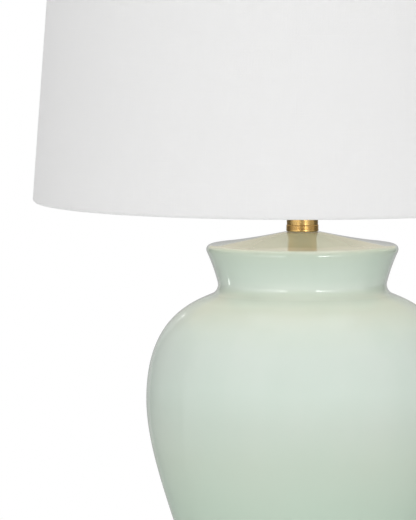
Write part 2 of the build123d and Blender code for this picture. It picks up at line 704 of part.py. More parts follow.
def paper_sleeve():
    """The cardboard sleeve that insulates the shell from the live parts."""
    inner = PAPER_OUTER_RADIUS - PAPER_THICKNESS
    sleeve = ring(PAPER_OUTER_RADIUS, inner, SHELL_Z + 0.5, SHELL_TOP_Z - 1.0)
    return sleeve - rod_along_y(SHAFT_RADIUS + SHAFT_HOLE_GAP, -PAPER_OUTER_RADIUS - 2, -inner + 4, SWITCH_Z)


def terminal_face():
    """How far from the axis the flat seat of a terminal screw lies."""
    return CORE_RADIUS - TERMINAL_INSET


def socket_core():
    """The moulded switch body: bored for the shaft, pocketed for the two terminal screws."""
    core = ring(CORE_RADIUS, 0.0, CORE_Z, CORE_TOP_Z)
    core -= rod_along_y(SHAFT_RADIUS + TURN_GAP, -CORE_RADIUS - 1, -SHAFT_DEPTH, SWITCH_Z)
    terminal_z = SOCKET_Z + TERMINAL_HEIGHT
    pocket = Box(2 * TERMINAL_INSET, 2 * TERMINAL_POCKET, 2 * TERMINAL_POCKET)
    for side in (-1, 1):
        seat = side * terminal_face()
        shank_end = seat - side * TERMINAL_SHANK_LENGTH
        core -= Pos(side * CORE_RADIUS, 0, terminal_z) * pocket
        core -= rod_along_x(TERMINAL_SHANK_RADIUS + THREAD_GAP, seat, shank_end, terminal_z)
    return core


def terminal_screws():
    """The two binding screws of the socket, one on each side."""
    screws = []
    terminal_z = SOCKET_Z + TERMINAL_HEIGHT
    for side in (-1, 1):
        seat = side * terminal_face()
        head_end = seat + side * TERMINAL_HEAD_THICKNESS
        screw = rod_along_x(TERMINAL_HEAD_RADIUS, seat, head_end, terminal_z)
        screw += rod_along_x(TERMINAL_SHANK_RADIUS, seat, seat - side * TERMINAL_SHANK_LENGTH, terminal_z)
        slot = Box(1.2, 2 * TERMINAL_HEAD_RADIUS, 0.7)
        screws.append(screw - Pos(head_end, 0, terminal_z) * slot)
    return Compound(children=screws)


def thread_line(root_radius):
    """The rolled thread's outline, going up: ridges that stand out from a root radius."""
    points = []
    for ridge in range(THREAD_RIDGES):
        low = THREAD_Z + ridge * THREAD_PITCH
        points += [
            (root_radius, low + 0.10 * THREAD_PITCH),
            (root_radius + THREAD_DEPTH, low + 0.38 * THREAD_PITCH),
            (root_radius + THREAD_DEPTH, low + 0.62 * THREAD_PITCH),
            (root_radius, low + 0.90 * THREAD_PITCH),
        ]
    return points


def screw_shell():
    """The thin threaded shell that takes the bulb's cap."""
    inner = BULB_CAP_RADIUS + BULB_THREAD_GAP
    outer = inner + SCREW_SHELL_WALL
    top = THREAD_Z + THREAD_RIDGES * THREAD_PITCH + SCREW_SHELL_LIP
    up = [(outer, CORE_TOP_Z), *thread_line(outer), (outer, top)]
    down = [(inner, top), *reversed(thread_line(inner)), (inner, CORE_TOP_Z)]
    return turned(outline_face(up + down))


def centre_contact():
    """The springy brass tongue at the bottom of the socket."""
    strip_z = CORE_TOP_Z + CONTACT_THICKNESS / 2
    dome_z = CORE_TOP_Z + CONTACT_THICKNESS + CONTACT_DOME_HEIGHT / 2
    strip = Pos(0, 0, strip_z) * Box(CONTACT_LENGTH, CONTACT_WIDTH, CONTACT_THICKNESS)
    return strip + Pos(0, 0, dome_z) * Cylinder(CONTACT_DOME_RADIUS * 0.9, CONTACT_DOME_HEIGHT)


# ---- Switch key ----
def switch_shaft():
    return rod_along_y(SHAFT_RADIUS, -SHAFT_DEPTH - FACE_GAP, -SHAFT_REACH, SWITCH_Z)


def switch_key():
    """The flat turn key, pushed over the end of the shaft."""
    start, end = -KEY_START, -KEY_START - KEY_LENGTH
    barrel = rod_along_y(KEY_BARREL_RADIUS, start, start - KEY_BARREL_LENGTH, SWITCH_Z)
    blade_length = KEY_LENGTH - KEY_BARREL_LENGTH * 0.5
    blade = extrude(SlotOverall(KEY_WIDTH, blade_length), KEY_THICKNESS / 2, both=True)
    blade = fillet(blade.edges(), KEY_ROUND)
    key = barrel + Pos(0, end + blade_length / 2, SWITCH_Z) * blade
    return key - rod_along_y(SHAFT_RADIUS + THREAD_GAP, start + 1, -SHAFT_REACH - THREAD_GAP, SWITCH_Z)


# ---- Bulb ----
def bulb_outline(depth, foot_z):
    """The globe's outline at a depth under its surface, from the neck to the top, and the axis."""
    taper = radians(BULB_TAPER_ANGLE)
    radius = BULB_RADIUS - depth
    neck_radius = BULB_NECK_RADIUS - depth
    neck_z = BULB_CAP_TOP_Z + BULB_NECK_HEIGHT
    joint = (radius * cos(taper), BULB_CENTRE_Z - radius * sin(taper))
    handle_r = BULB_TAPER_HANDLE * sin(taper)
    handle_z = BULB_TAPER_HANDLE * cos(taper)
    belly = Bezier(
        (neck_radius, neck_z),
        (neck_radius, neck_z + BULB_TAPER_HANDLE),
        (joint[0] - handle_r, joint[1] - handle_z),
        joint,
    )
    dome = ThreePointArc(joint, (radius, BULB_CENTRE_Z), (0, BULB_CENTRE_Z + radius))
    foot_radius = BULB_CAP_RADIUS - BULB_CAP_WALL - THREAD_GAP - depth
    foot = Polyline(
        (0, BULB_CENTRE_Z + radius),
        (0, foot_z),
        (foot_radius, foot_z),
        (foot_radius, BULB_CAP_TOP_Z),
        (neck_radius, neck_z),
    )
    return turned(make_face([*belly.edges(), *dome.edges(), *foot.edges()]))


def bulb_globe():
    """The frosted glass globe: an even wall, open at its neck inside the cap."""
    foot_z = BULB_CAP_TOP_Z - 4.0
    return bulb_outline(0.0, foot_z) - bulb_outline(BULB_GLASS, foot_z - 1.0)


def bulb_cap():
    """The bulb's rolled metal cap, one wall thick."""
    outer, inner = BULB_CAP_RADIUS, BULB_CAP_RADIUS - BULB_CAP_WALL
    up = [(outer, BULB_CAP_Z), *thread_line(outer), (outer, BULB_CAP_TOP_Z)]
    return turned(outline_face([*up, (inner, BULB_CAP_TOP_Z), (inner, BULB_CAP_Z)]))


def bulb_insulator():
    """The glass insulator between the cap and the centre tip."""
    low = BULB_TIP_Z + BULB_TIP_HEIGHT
    inner = BULB_CAP_RADIUS - BULB_CAP_WALL
    return turned(
        outline_face(
            [(0, low), (BULB_TIP_RADIUS + 1.0, low), (BULB_CAP_RADIUS, BULB_CAP_Z), (inner, BULB_CAP_Z),
             (inner, BULB_CAP_Z + 1.0), (0, BULB_CAP_Z + 1.0)]
        )
    )


def bulb_tip():
    centre_z = BULB_TIP_Z + BULB_TIP_HEIGHT / 2
    tip = Cylinder(BULB_TIP_RADIUS, BULB_TIP_HEIGHT)
    tip = fillet(tip.edges().sort_by(Axis.Z)[0], BULB_TIP_HEIGHT * 0.6)
    return Pos(0, 0, centre_z) * tip


# ---- Shade ----
def shade_run():
    """How far the line between the two ring wires runs outwards and upwards."""
    return TOP_RING_RADIUS - BOTTOM_RING_RADIUS, TOP_RING_Z - BOTTOM_RING_Z


def shade_side(length_cut, low_depth, high_depth):
    """A strip of the shade's side: its depths are inwards from the line between the two ring wires."""
    run_r, run_z = shade_run()
    length = hypot(run_r, run_z)
    along_r, along_z = run_r / length, run_z / length

    def spot(along, inwards):
        return (
            BOTTOM_RING_RADIUS + along_r * along - along_z * inwards,
            BOTTOM_RING_Z + along_z * along + along_r * inwards,
        )

    return [
        spot(length_cut, low_depth),
        spot(length - length_cut, low_depth),
        spot(length - length_cut, high_depth),
        spot(length_cut, high_depth),
    ]


def shade_loop(radius):
    """The outline of a band that runs round both ring wires, at a radius from their centres."""
    run_r, run_z = shade_run()
    slot = SlotCenterToCenter(hypot(run_r, run_z), 2 * radius)
    middle_radius, middle_z = BOTTOM_RING_RADIUS + run_r / 2, BOTTOM_RING_Z + run_z / 2
    return Pos(middle_radius, middle_z) * Rot(0, 0, degrees(atan2(run_z, run_r))) * slot


def shade_fabric():
    """The cloth cover: down the outside, rolled round both ring wires, and hemmed inside."""
    section = shade_loop(SHADE_EDGE) - shade_loop(HEM_RADIUS)
    section -= outline_face(shade_side(SHADE_HEM, SHADE_WIRE_RADIUS / 2, 2 * SHADE_EDGE))
    fabric = turned(section)
    notch_radius = SPIDER_ARM_RADIUS + SLIP_GAP
    notch_start = TOP_RING_RADIUS - 2 * SHADE_EDGE
    notch = rod_along_x(notch_radius, notch_start, TOP_RING_RADIUS, TOP_RING_Z)
    for arm in range(SPIDER_ARMS):
        fabric -= Rot(0, 0, arm_angle(arm)) * notch
    return fabric


def shade_liner():
    """The stiff plastic lining under the cloth, between the two ring wires."""
    cut = SHADE_WIRE_RADIUS
    return turned(outline_face(shade_side(cut, -HEM_RADIUS, SHADE_LINER - HEM_RADIUS)))


def shade_seam():
    """The lapped seam of the cloth, a narrow raised band down the back."""
    strip = outline_face(shade_side(SEAM_END_GAP, -SHADE_EDGE - SEAM_THICKNESS, -SHADE_EDGE))
    band = revolve(Plane.XZ * strip, Axis.Z, revolution_arc=SEAM_ANGLE)
    return Rot(0, 0, 90 - SEAM_ANGLE / 2) * band


def arm_angle(arm):
    """The direction of a spider arm: the first one points to the back."""
    return 90 + arm * 360 / SPIDER_ARMS


def spider():
    """The welded top fitting: hub washer, dropped arms and the top ring wire."""
    hub = ring(HUB_RADIUS, STUD_RADIUS + TURN_GAP, HUB_Z, HUB_Z + HUB_THICKNESS)
    step_top = TOP_RING_RADIUS - SPIDER_STEP_INSET
    route = [
        (HUB_RADIUS - SPIDER_ARM_LAP, 0, SPIDER_ARM_Z),
        (step_top - SPIDER_STEP_RUN, 0, SPIDER_ARM_Z),
        (step_top, 0, TOP_RING_Z),
        (TOP_RING_RADIUS, 0, TOP_RING_Z),
    ]
    arm = wire_along(route, SPIDER_ARM_RADIUS, [SPIDER_BEND, SPIDER_BEND])
    fitting = hub + Pos(0, 0, TOP_RING_Z) * Torus(TOP_RING_RADIUS, SHADE_WIRE_RADIUS)
    for number in range(SPIDER_ARMS):
        fitting += Rot(0, 0, arm_angle(number)) * arm
    return fitting


def bottom_ring():
    return Pos(0, 0, BOTTOM_RING_Z) * Torus(BOTTOM_RING_RADIUS, SHADE_WIRE_RADIUS)


# ---- Finial ----
def finial_base():
    """The threaded foot of the finial."""
    top = FINIAL_Z + FINIAL_BASE_HEIGHT
    waist_z = FINIAL_Z + FINIAL_FLANGE_HEIGHT
    bore = STUD_RADIUS + TURN_GAP
    return turned(
        outline_face(
            [
                (bore, FINIAL_Z),
                (FINIAL_FLANGE_RADIUS, FINIAL_Z, 0.6),
                (FINIAL_FLANGE_RADIUS, waist_z, 1.0),
                (FINIAL_WAIST_RADIUS, waist_z + 1.6, 1.2),
                (FINIAL_WAIST_RADIUS, top - 1.2, 0.8),
                (FINIAL_WAIST_RADIUS + 1.2, top - 0.6, 0.3),
                (FINIAL_WAIST_RADIUS + 1.0, top),
                (FINIAL_STEM_RADIUS, top),
                (FINIAL_STEM_RADIUS, top + FINIAL_STEM_LENGTH),
                (0, top + FINIAL_STEM_LENGTH),
                (0, top - FINIAL_ROOF),
                (bore, top - FINIAL_ROOF),
            ]
        )
    )


def finial_ball():
    """The ball, cut flat where it sits and bored for the base's stem."""
    seat_z = FINIAL_Z + FINIAL_BASE_HEIGHT
    ball = Pos(0, 0, FINIAL_BALL_Z) * Sphere(FINIAL_BALL_RADIUS)
    below = Pos(0, 0, seat_z - FINIAL_BALL_RADIUS) * Cylinder(2 * FINIAL_BALL_RADIUS, 2 * FINIAL_BALL_RADIUS)
    stem_depth = FINIAL_STEM_LENGTH + SLIP_GAP
    stem = Pos(0, 0, seat_z + stem_depth / 2) * Cylinder(FINIAL_STEM_RADIUS + THREAD_GAP, stem_depth)
    return ball - below - stem


def pieces():
    """Every piece of the lamp by its node's name."""
    return {
        "felt_pad": felt_pad(),
        "jar_body": jar_body(),
        "cord_bushing": cord_bushing(),
        "bottom_gasket": bottom_gasket(),
        "bottom_washer": bottom_washer(),
        "bottom_nut": bottom_nut(),
        "lamp_pipe": lamp_pipe(),
        "neck_gasket": neck_gasket(),
        "neck_collar": neck_collar(),
        "neck_tube": neck_tube(),
        "neck_cap": neck_cap(),
        "top_nut": top_nut(),
        "harp_saddle": harp_saddle(),
        "harp_bow": harp_bow(),
        "harp_stud": harp_stud(),
        "harp_sleeve_left": harp_sleeve(-1),
        "harp_sleeve_right": harp_sleeve(1),
        "socket_cap": socket_cap(),
        "cap_set_screw": cap_set_screw(),
        "socket_shell": socket_shell(),
        "paper_sleeve": paper_sleeve(),
        "socket_core": socket_core(),
        "terminal_screws": terminal_screws(),
        "screw_shell": screw_shell(),
        "centre_contact": centre_contact(),
        "switch_shaft": switch_shaft(),
        "switch_key": switch_key(),
        "bulb_globe": bulb_globe(),
        "bulb_cap": bulb_cap(),
        "bulb_insulator": bulb_insulator(),
        "bulb_tip": bulb_tip(),
        "shade_fabric": shade_fabric(),
        "shade_liner": shade_liner(),
        "shade_seam": shade_seam(),
        "spider": spider(),
        "bottom_ring": bottom_ring(),
        "finial_base": finial_base(),
        "finial_ball": finial_ball(),
    }


def main():
    os.makedirs("parts", exist_ok=True)
    for name, shape in pieces().items():
        export_step(shape, f"parts/{name}.step")


if __name__ == "__main__":
    main()
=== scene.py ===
import json
import math

import bpy
from mathutils import Matrix, Vector, noise


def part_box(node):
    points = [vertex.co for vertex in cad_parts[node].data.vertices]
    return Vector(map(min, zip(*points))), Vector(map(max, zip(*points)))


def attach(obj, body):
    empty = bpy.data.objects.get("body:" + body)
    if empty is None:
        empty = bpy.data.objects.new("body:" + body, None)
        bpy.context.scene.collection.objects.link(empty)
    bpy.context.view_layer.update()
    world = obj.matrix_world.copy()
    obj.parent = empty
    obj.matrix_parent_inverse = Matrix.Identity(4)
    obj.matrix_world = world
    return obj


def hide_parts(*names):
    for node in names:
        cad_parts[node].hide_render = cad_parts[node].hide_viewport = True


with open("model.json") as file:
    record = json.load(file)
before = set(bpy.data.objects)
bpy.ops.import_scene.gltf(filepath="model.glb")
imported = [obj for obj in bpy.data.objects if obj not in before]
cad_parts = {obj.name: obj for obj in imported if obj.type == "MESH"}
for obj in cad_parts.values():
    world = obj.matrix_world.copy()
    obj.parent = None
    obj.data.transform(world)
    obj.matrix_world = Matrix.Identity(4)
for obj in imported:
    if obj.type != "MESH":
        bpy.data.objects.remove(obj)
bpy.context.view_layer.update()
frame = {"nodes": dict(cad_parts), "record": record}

# Ginger jar table lamp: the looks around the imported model. Metres, +Z up, the frame's own origin.
# Azimuths are seen from above, from the camera's side (-Y) towards the right (+X), in degrees.

# ---- Camera, as the photograph was taken ----
IMAGE_WIDTH, IMAGE_HEIGHT = 416, 520
FOCAL_PIXELS = 6646.0
AXIS_X, AXIS_Y = 302.4, 234.6  # the pixel that shows the point of the lamp's axis 0.34 m up
CAMERA_PLACE = (0.0, -5.0, 0.70622)
CAMERA_DIP = 4.189
SENSOR = 36.0  # in millimetres, along the picture's longer side, which is its height

# ---- Floor, background and lights ----
WHITE = (1.0, 1.0, 1.0)
WORLD_LIGHT = 0.58
FLOOR_SIZE = 60.0
FLOOR_COLOUR = (0.86, 0.86, 0.86)
SHADOW_FADE = (0.30, 0.62)  # from here to there the floor turns into the white background
AIM = Vector((0.0, 0.0, 0.34))  # what the soft lights face
SOFT_LIGHTS = (  # name, azimuth, elevation, distance, size, radiance
    ("key_left", -35, 8, 2.6, (2.8, 1.5), 1.04),
    ("key_right", 26, 11, 2.6, (2.8, 1.5), 1.12),
    ("top", 0, 89, 2.2, (1.8, 1.8), 2.3),
    ("back", 180, 20, 2.6, (1.8, 1.5), 0.6),
)
SPARK_DISTANCE = 0.5
SPARK_SPREAD = 8.0
# Name, the lit spot's (radius, azimuth, height), the light's (azimuth, elevation) from it, size, radiance
SPARKS = (
    ("spark_flare", (0.0644, -58.5, 0.3056), (-123.3, -19.0), (0.024, 0.024), 3.4),
    ("spark_shoulder", (0.0938, -73.0, 0.2811), (-160.7, 16.5), (0.012, 0.009), 9.0),
    ("spark_edge", (0.0967, -73.5, 0.2784), (-158.9, 15.5), (0.008, 0.008), 4.0),
)

# ---- What the glaze and the brass mirror. An edge is (distance, height) ----
CREASE_LOW, CREASE_HIGH = (0.31, 0.26), (0.31, 0.318)
NECK_LOW, NECK_HIGH = (1.0, 0.20), (1.0, 0.36)
SHIELD_LOW, SHIELD_HIGH = (0.22, 0.002), (0.22, 0.285)  # it keeps the panels out of the belly's gloss
WALL_LOW, WALL_MIDDLE, WALL_HIGH, WALL_TOP = (1.7, -0.05), (1.7, 0.50), (1.7, 1.9), (1.7, 2.2)
FLOOR_NEAR, FLOOR_FAR = (0.14, 0.001), (1.7, 0.001)
# A glowing band just inside the lining that only gloss sees: a painted reflection of a brighter lining for
# the jar's top and the brass to mirror.
LINING_REFLECTION_LOW, LINING_REFLECTION_HIGH = (0.196, 0.367), (0.180, 0.60)
LINING_REFLECTION_TINT = (0.99, 0.907, 0.742)  # painted reflection: the tint of a brightly lit lining, as the jar's top mirrors it
CARDS = (  # name, first and last azimuth, its two edges, its tone at each, tint
    ("panel_crease_left", -34, -19, CREASE_LOW, CREASE_HIGH, 4.6, 4.6, WHITE),
    ("panel_crease_far_left", -50, -34, CREASE_LOW, CREASE_HIGH, 1.8, 1.8, WHITE),
    ("panel_crease_right", 17, 29, CREASE_LOW, CREASE_HIGH, 8.0, 8.0, WHITE),
    ("panel_crease_far_right", 29, 42, CREASE_LOW, CREASE_HIGH, 3.0, 3.0, WHITE),
    ("panel_neck_left", -72, -42, NECK_LOW, NECK_HIGH, 1.2, 1.2, WHITE),
    ("panel_neck_near_left", -42, -26, NECK_LOW, NECK_HIGH, 0.9, 0.9, WHITE),
    ("panel_neck_right", 14, 35, NECK_LOW, NECK_HIGH, 1.25, 1.25, WHITE),
    ("panel_neck_far_right", 35, 54, NECK_LOW, NECK_HIGH, 0.9, 0.9, WHITE),
    ("shield", -70, 70, SHIELD_LOW, SHIELD_HIGH, 0.54, 0.64, WHITE),
    ("card_front", -95, 95, WALL_LOW, WALL_TOP, 0.56, 0.90, WHITE),
    ("card_left", -150, -95, WALL_LOW, WALL_MIDDLE, 0.16, 0.20, WHITE),
    ("card_high_left", -150, -95, WALL_MIDDLE, WALL_HIGH, 0.22, 0.50, WHITE),
    ("floor_left", -150, -95, FLOOR_NEAR, FLOOR_FAR, 0.38, 0.22, WHITE),
    ("card_right", 95, 150, WALL_LOW, WALL_MIDDLE, 0.16, 0.20, WHITE),
    ("card_high_right", 95, 150, WALL_MIDDLE, WALL_HIGH, 0.22, 0.50, WHITE),
    ("floor_right", 95, 150, FLOOR_NEAR, FLOOR_FAR, 0.38, 0.22, WHITE),
    ("card_back", 150, 210, WALL_LOW, WALL_MIDDLE, 0.40, 0.46, WHITE),
    ("card_back_high", 150, 210, WALL_MIDDLE, WALL_HIGH, 0.52, 0.56, WHITE),
    ("floor_back", 150, 210, FLOOR_NEAR, FLOOR_FAR, 0.45, 0.42, WHITE),
    ("floor_front", -95, 95, FLOOR_NEAR, FLOOR_FAR, 0.50, 0.58, WHITE),
    ("bright_lining", 80, 280, LINING_REFLECTION_LOW, LINING_REFLECTION_HIGH, 0.66, 0.66, LINING_REFLECTION_TINT),
)
CARD_STEP = 6.0  # degrees to each of a card's flat parts

# ---- Jar ----
FOOT_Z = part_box("jar_body")[0].z
SEAT_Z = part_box("jar_body")[1].z
FOOT_RADIUS = 0.0726
FOOT_STRAIGHT = 0.0105
FOOT_RING_WIDTH = 0.0085
FOOT_ROUND = 0.0020
FOOT_INNER_ROUND = 0.0010
RECESS_DEPTH = 0.018
RECESS_ROUND = 0.003
PIPE_HOLE_RADIUS = 0.0056
PIPE_HOLE_SHOWN = 0.006  # how far the hole's wall goes down into the top
BELLY_RADIUS = 0.1181
BELLY_Z = FOOT_Z + 0.2145
FOOT_HANDLE = 0.0670
LOWER_BELLY_HANDLE = 0.0596
UPPER_BELLY_HANDLE = 0.0681
SHOULDER_HANDLE = 0.0150
SHOULDER_SLOPE = 28.6
CREASE_RADIUS = 0.0626
CREASE_Z = BELLY_Z + 0.0819
CREASE_ROUND = 0.0077
RIM_RADIUS = 0.0746
RIM_Z = CREASE_Z + 0.0343
FLARE_HOLLOW = 0.0012
LIP_ROUND = 0.0040
SEAT_RADIUS = 0.0142
TOP_RIM_HANDLE = 0.028
TOP_RIM_SLOPE = 6.0
TOP_SEAT_HANDLE = 0.0118
TOP_SEAT_SLOPE = 11.0
WALL_UNEVENNESS = 0.00012
WALL_WAVES = 9.0  # unevennesses to a metre
EVEN_FROM_FOOT, EVEN_FROM_SEAT = 0.01, 0.004  # the unevenness fades out over these heights

# ---- Brass neck ----
NECK_SEGMENTS = 160
COLLAR_BORE_RADIUS = 0.00525
COLLAR_EDGE = 0.0004
COLLAR_FOOT_EDGE = 0.0005
GROOVES = 3
GROOVE_Z = 0.0018  # the lowest groove's height over the collar's foot
GROOVE_PITCH = 0.0010
GROOVE_DEPTH = 0.0002
GROOVE_HALF = 0.00027
GROOVE_FLOOR_HALF = 0.0001
TUBE_EDGE = 0.00025
TUBE_WALL = 0.0012

# ---- Shade ----
SHADE_WIRE_RADIUS = 0.00125
HEM_RADIUS = SHADE_WIRE_RADIUS + 0.0007
CLOTH = 0.0008
SHADE_EDGE = HEM_RADIUS + CLOTH
HEM_LENGTH = 0.010
THREAD_PITCH = 0.00062
SEAM_WIDTH = 0.0099
SEAM_THICKNESS = 0.0003
SEAM_FEATHER = 0.25  # the share of the seam's width in which each of its edges rises
SEAM_ROWS, SEAM_COLUMNS = 60, 8
ROLL_STEPS, SIDE_STEPS, HEM_STEPS = 14, 44, 3

# ---- Surfaces ----
SEGMENTS = 256
SHARP_ANGLE = 35.0
ROUND_PULL = 0.55  # how far a rounded corner's handles reach towards the corner

# ---- Finishes ----
# The colours by height are partly the glaze's own tone and partly painted light. They get darker towards
# the foot. The tan stop just under the crease is a painted reflection of the lining. The pale stops round
# the crease and at the lip are painted highlights. The darker olive top is partly painted shadow of the
# lampshade.
GLAZE_AND_PAINTED_LIGHT_BY_HEIGHT = (  # share of the jar's height, the colour there, partly painted light
    (0.00, (0.46, 0.57, 0.46)),
    (0.25, (0.49, 0.61, 0.50)),
    (0.40, (0.53, 0.64, 0.53)),
    (0.51, (0.58, 0.66, 0.56)),
    (0.59, (0.63, 0.70, 0.62)),
    (0.67, (0.69, 0.77, 0.70)),
    (0.745, (0.70, 0.77, 0.71)),
    (0.795, (0.71, 0.78, 0.71)),
    (0.842, (0.70, 0.74, 0.64)),
    (0.862, (0.76, 0.82, 0.72)),
    (0.875, (0.74, 0.83, 0.71)),
    (0.885, (0.78, 0.86, 0.78)),
    (0.905, (0.69, 0.785, 0.70)),
    (0.94, (0.635, 0.735, 0.64)),
    (0.966, (0.63, 0.72, 0.60)),
    (0.974, (0.79, 0.80, 0.68)),
    (0.979, (0.52, 0.57, 0.42)),
    (1.00, (0.52, 0.57, 0.42)),
)
GLAZE_DEEP = (0.50, 0.66, 0.55)
WANDER, WANDER_SCALE = 0.012, 14.0  # how far the colours' heights wander. Every scale is to a metre
STREAK_SHARE, STREAK_SCALE = 0.12, (34.0, 34.0, 4.0)  # deeper glaze in streaks that run down
CLOUD_SHARE, CLOUD_SCALE = 0.16, 9.0
GLAZE_ROUGHNESS, ROUGHNESS_SCALE = (0.07, 0.12), 40.0
RIPPLE_DEPTH, RIPPLE_SCALE = 0.00006, 55.0
COATED_FROM, COATED_TO = 0.850, 0.872  # shares of the jar's height: a second gloss from the crease up
CLAY, PALE_CLAY, CLAY_GRAIN, CLAY_ROUGHNESS = (0.66, 0.60, 0.50), (0.76, 0.71, 0.62), 900.0, 0.7
BARE_CLAY = (0.0012, 0.0022)  # over the foot's lowest point, from bare clay to glaze
BARE_WANDER, BARE_SCALE = 0.0012, 60.0

LINEN, LINEN_HIGH = (0.845, 0.843, 0.84), (0.885, 0.884, 0.882)
WEAVE_SHADE_SHARE, SLUB_SHARE = 0.25, 0.35  # how much paler a thread's top is than the painted shadow between threads, and how much paler a thick thread is
WEAVE_DEPTH = 0.00008
WAVE_BANDS = 20 / (2 * math.pi)  # a wave texture's bands to a metre at scale 1
SLUBS = ((28.0, 1500.0, 1.0), (1500.0, 28.0, 1.0))
SLUB_RANGE = (0.55, 0.8)

LINING, LINING_PALE, LINING_CLOUDS = (0.86, 0.83, 0.76), (0.89, 0.865, 0.80), 6.0
LINING_GRAIN, LINING_GRAIN_DEPTH = 1400.0, 0.00003

BULB_COAT, BULB_COAT_PALE, BULB_CLOUDS = (0.88, 0.88, 0.86), (0.92, 0.92, 0.905), 120.0

AGED, AGED_DARK = (0.72, 0.48, 0.18), (0.38, 0.23, 0.08)
BRIGHT, BRIGHT_DARK = (0.78, 0.58, 0.27), (0.52, 0.35, 0.14)
BRASSES = {  # slot: its colour, its patina's colour, roughness, share of patina, whether it was turned
    "aged_brass": (AGED, AGED_DARK, 0.15, 0.45, True),
    "harp_brass": (BRIGHT, BRIGHT_DARK, 0.26, 0.35, False),
    "socket_brass": (BRIGHT, BRIGHT_DARK, 0.24, 0.12, True),
    "terminal_brass": (BRIGHT, BRIGHT_DARK, 0.25, 0.25, False),
    "key_brass": (BRIGHT, BRIGHT_DARK, 0.30, 0.40, False),
    "spider_brass": (BRIGHT, BRIGHT_DARK, 0.28, 0.35, False),
    "finial_brass": (AGED, AGED_DARK, 0.25, 0.40, True),
}
METALS = {  # slot: its colour, its dull spots' colour, roughness
    "plain_steel": ((0.62, 0.62, 0.63), (0.36, 0.36, 0.37), 0.34),
    "zinc_steel": ((0.66, 0.66, 0.62), (0.42, 0.42, 0.38), 0.38),
    "screw_shell_aluminium": ((0.80, 0.80, 0.80), (0.60, 0.60, 0.60), 0.30),
    "bulb_aluminium": ((0.82, 0.82, 0.82), (0.62, 0.62, 0.62), 0.28),
    "solder": ((0.58, 0.58, 0.58), (0.36, 0.36, 0.36), 0.42),
}
SOLIDS = {  # slot: its two colours, roughness, grains to a metre, the grain's depth, sheen
    "felt": ((0.16, 0.19, 0.16), (0.09, 0.11, 0.09), 0.95, 2600.0, 0.0003, 0.4),
    "bushing_plastic": ((0.03, 0.03, 0.03), (0.05, 0.05, 0.05), 0.45, 1500.0, 0.00002, 0.0),
    "gasket_rubber": ((0.02, 0.02, 0.02), (0.045, 0.045, 0.045), 0.75, 1800.0, 0.00003, 0.0),
    "neck_rubber": ((0.66, 0.58, 0.42), (0.74, 0.66, 0.50), 0.70, 1800.0, 0.00003, 0.0),
    "ring_steel": ((0.80, 0.79, 0.76), (0.72, 0.71, 0.68), 0.40, 700.0, 0.00002, 0.0),
    "insulating_card": ((0.30, 0.21, 0.13), (0.19, 0.13, 0.08), 0.90, 1200.0, 0.00008, 0.0),
    "phenolic_black": ((0.02, 0.02, 0.02), (0.04, 0.037, 0.035), 0.35, 900.0, 0.00002, 0.0),
    "bulb_insulation": ((0.03, 0.025, 0.04), (0.06, 0.05, 0.07), 0.15, 500.0, 0.00001, 0.0),
}
PATINA_SCALE, PATINA_RANGE, PATINA_DULLNESS = 70.0, (0.35, 0.75), 0.10
TURNED_LINES, TURNED_DEPTH, TURNED_STRETCH = (40.0, 40.0, 9000.0), 0.000012, 0.55
BRUSHED_GRAIN, BRUSHED_DEPTH = (900.0, 900.0, 900.0), 0.000006
LINE_SHARE, LINE_ROUGHNESS = 0.22, (-0.05, 0.07)
METAL_GRAIN, METAL_GRAIN_DEPTH = 600.0, 0.00001
METAL_GRAIN_SHARE, METAL_GRAIN_ROUGHNESS = 0.3, (-0.05, 0.08)
METAL_SPOTS, METAL_SPOT_RANGE, METAL_SPOT_SHARE = 90.0, (0.4, 0.8), 0.6
FINE_SHARE, COARSE_SHARE = 0.6, 0.4  # of a solid's second colour, by its fine and its coarse grain
COARSER = 9


# ---- Line helpers: every line is a list of (radius, height) ----
def bezier(start, start_handle, end_handle, end, count):
    """Points along a cubic curve."""
    line = []
    for step in range(count + 1):
        t = step / count
        weights = ((1 - t) ** 3, 3 * t * (1 - t) ** 2, 3 * t * t * (1 - t), t**3)
        corners = (start, start_handle, end_handle, end)
        line.append(tuple(sum(w * c[i] for w, c in zip(weights, corners)) for i in (0, 1)))
    return line


def hollow_arc(start, end, hollow, count):
    """Points along the arc between two points that lies this far to the left of its chord."""
    chord = math.dist(start, end)
    radius = (chord * chord / 4 + hollow * hollow) / (2 * hollow)
    half = math.asin(chord / 2 / radius)
    along = [(b - a) / chord for a, b in zip(start, end)]
    line = []
    for step in range(count + 1):
        angle = half * (2 * step / count - 1)
        run = chord / 2 + radius * math.sin(angle)
        rise = hollow - radius * (1 - math.cos(angle))
        across = (-along[1] * rise, along[0] * rise)
        line.append(tuple(start[i] + along[i] * run + across[i] for i in (0, 1)))
    return line


def cut_back(line, length):
    """The line without the last stretch of that length."""
    kept = list(line)
    while len(kept) > 1 and math.dist(kept[-1], kept[-2]) <= length:
        length -= math.dist(kept[-1], kept[-2])
        kept.pop()
    share = length / math.dist(kept[-1], kept[-2])
    kept[-1] = tuple(a + (b - a) * share for a, b in zip(kept[-1], kept[-2]))
    return kept


def join_rounded(before, after, radius, count=8):
    """Two lines that meet in a corner, as one line with that corner rounded."""
    corner = before[-1]
    way_in = Vector(corner) - Vector(cut_back(before, radius)[-1])
    way_out = Vector(cut_back(after[::-1], radius)[-1]) - Vector(corner)
    cut = radius * math.tan(way_in.angle(way_out) / 2)
    before, after = cut_back(before, cut), cut_back(after[::-1], cut)[::-1]
    first, last = before[-1], after[0]
    handles = [tuple(a + (b - a) * ROUND_PULL for a, b in zip(end, corner)) for end in (first, last)]
    return before[:-1] + bezier(first, *handles, last, count) + after[1:]


def straight(start, end, count):
    """Points along a straight line."""
    return [tuple(a + (b - a) * step / count for a, b in zip(start, end)) for step in range(count + 1)]


def handle(point, slope, length):
    """A curve's handle, this far from its point and at this slope, in degrees from level and outward."""
    slope = math.radians(slope)
    return point[0] + length * math.cos(slope), point[1] + length * math.sin(slope)


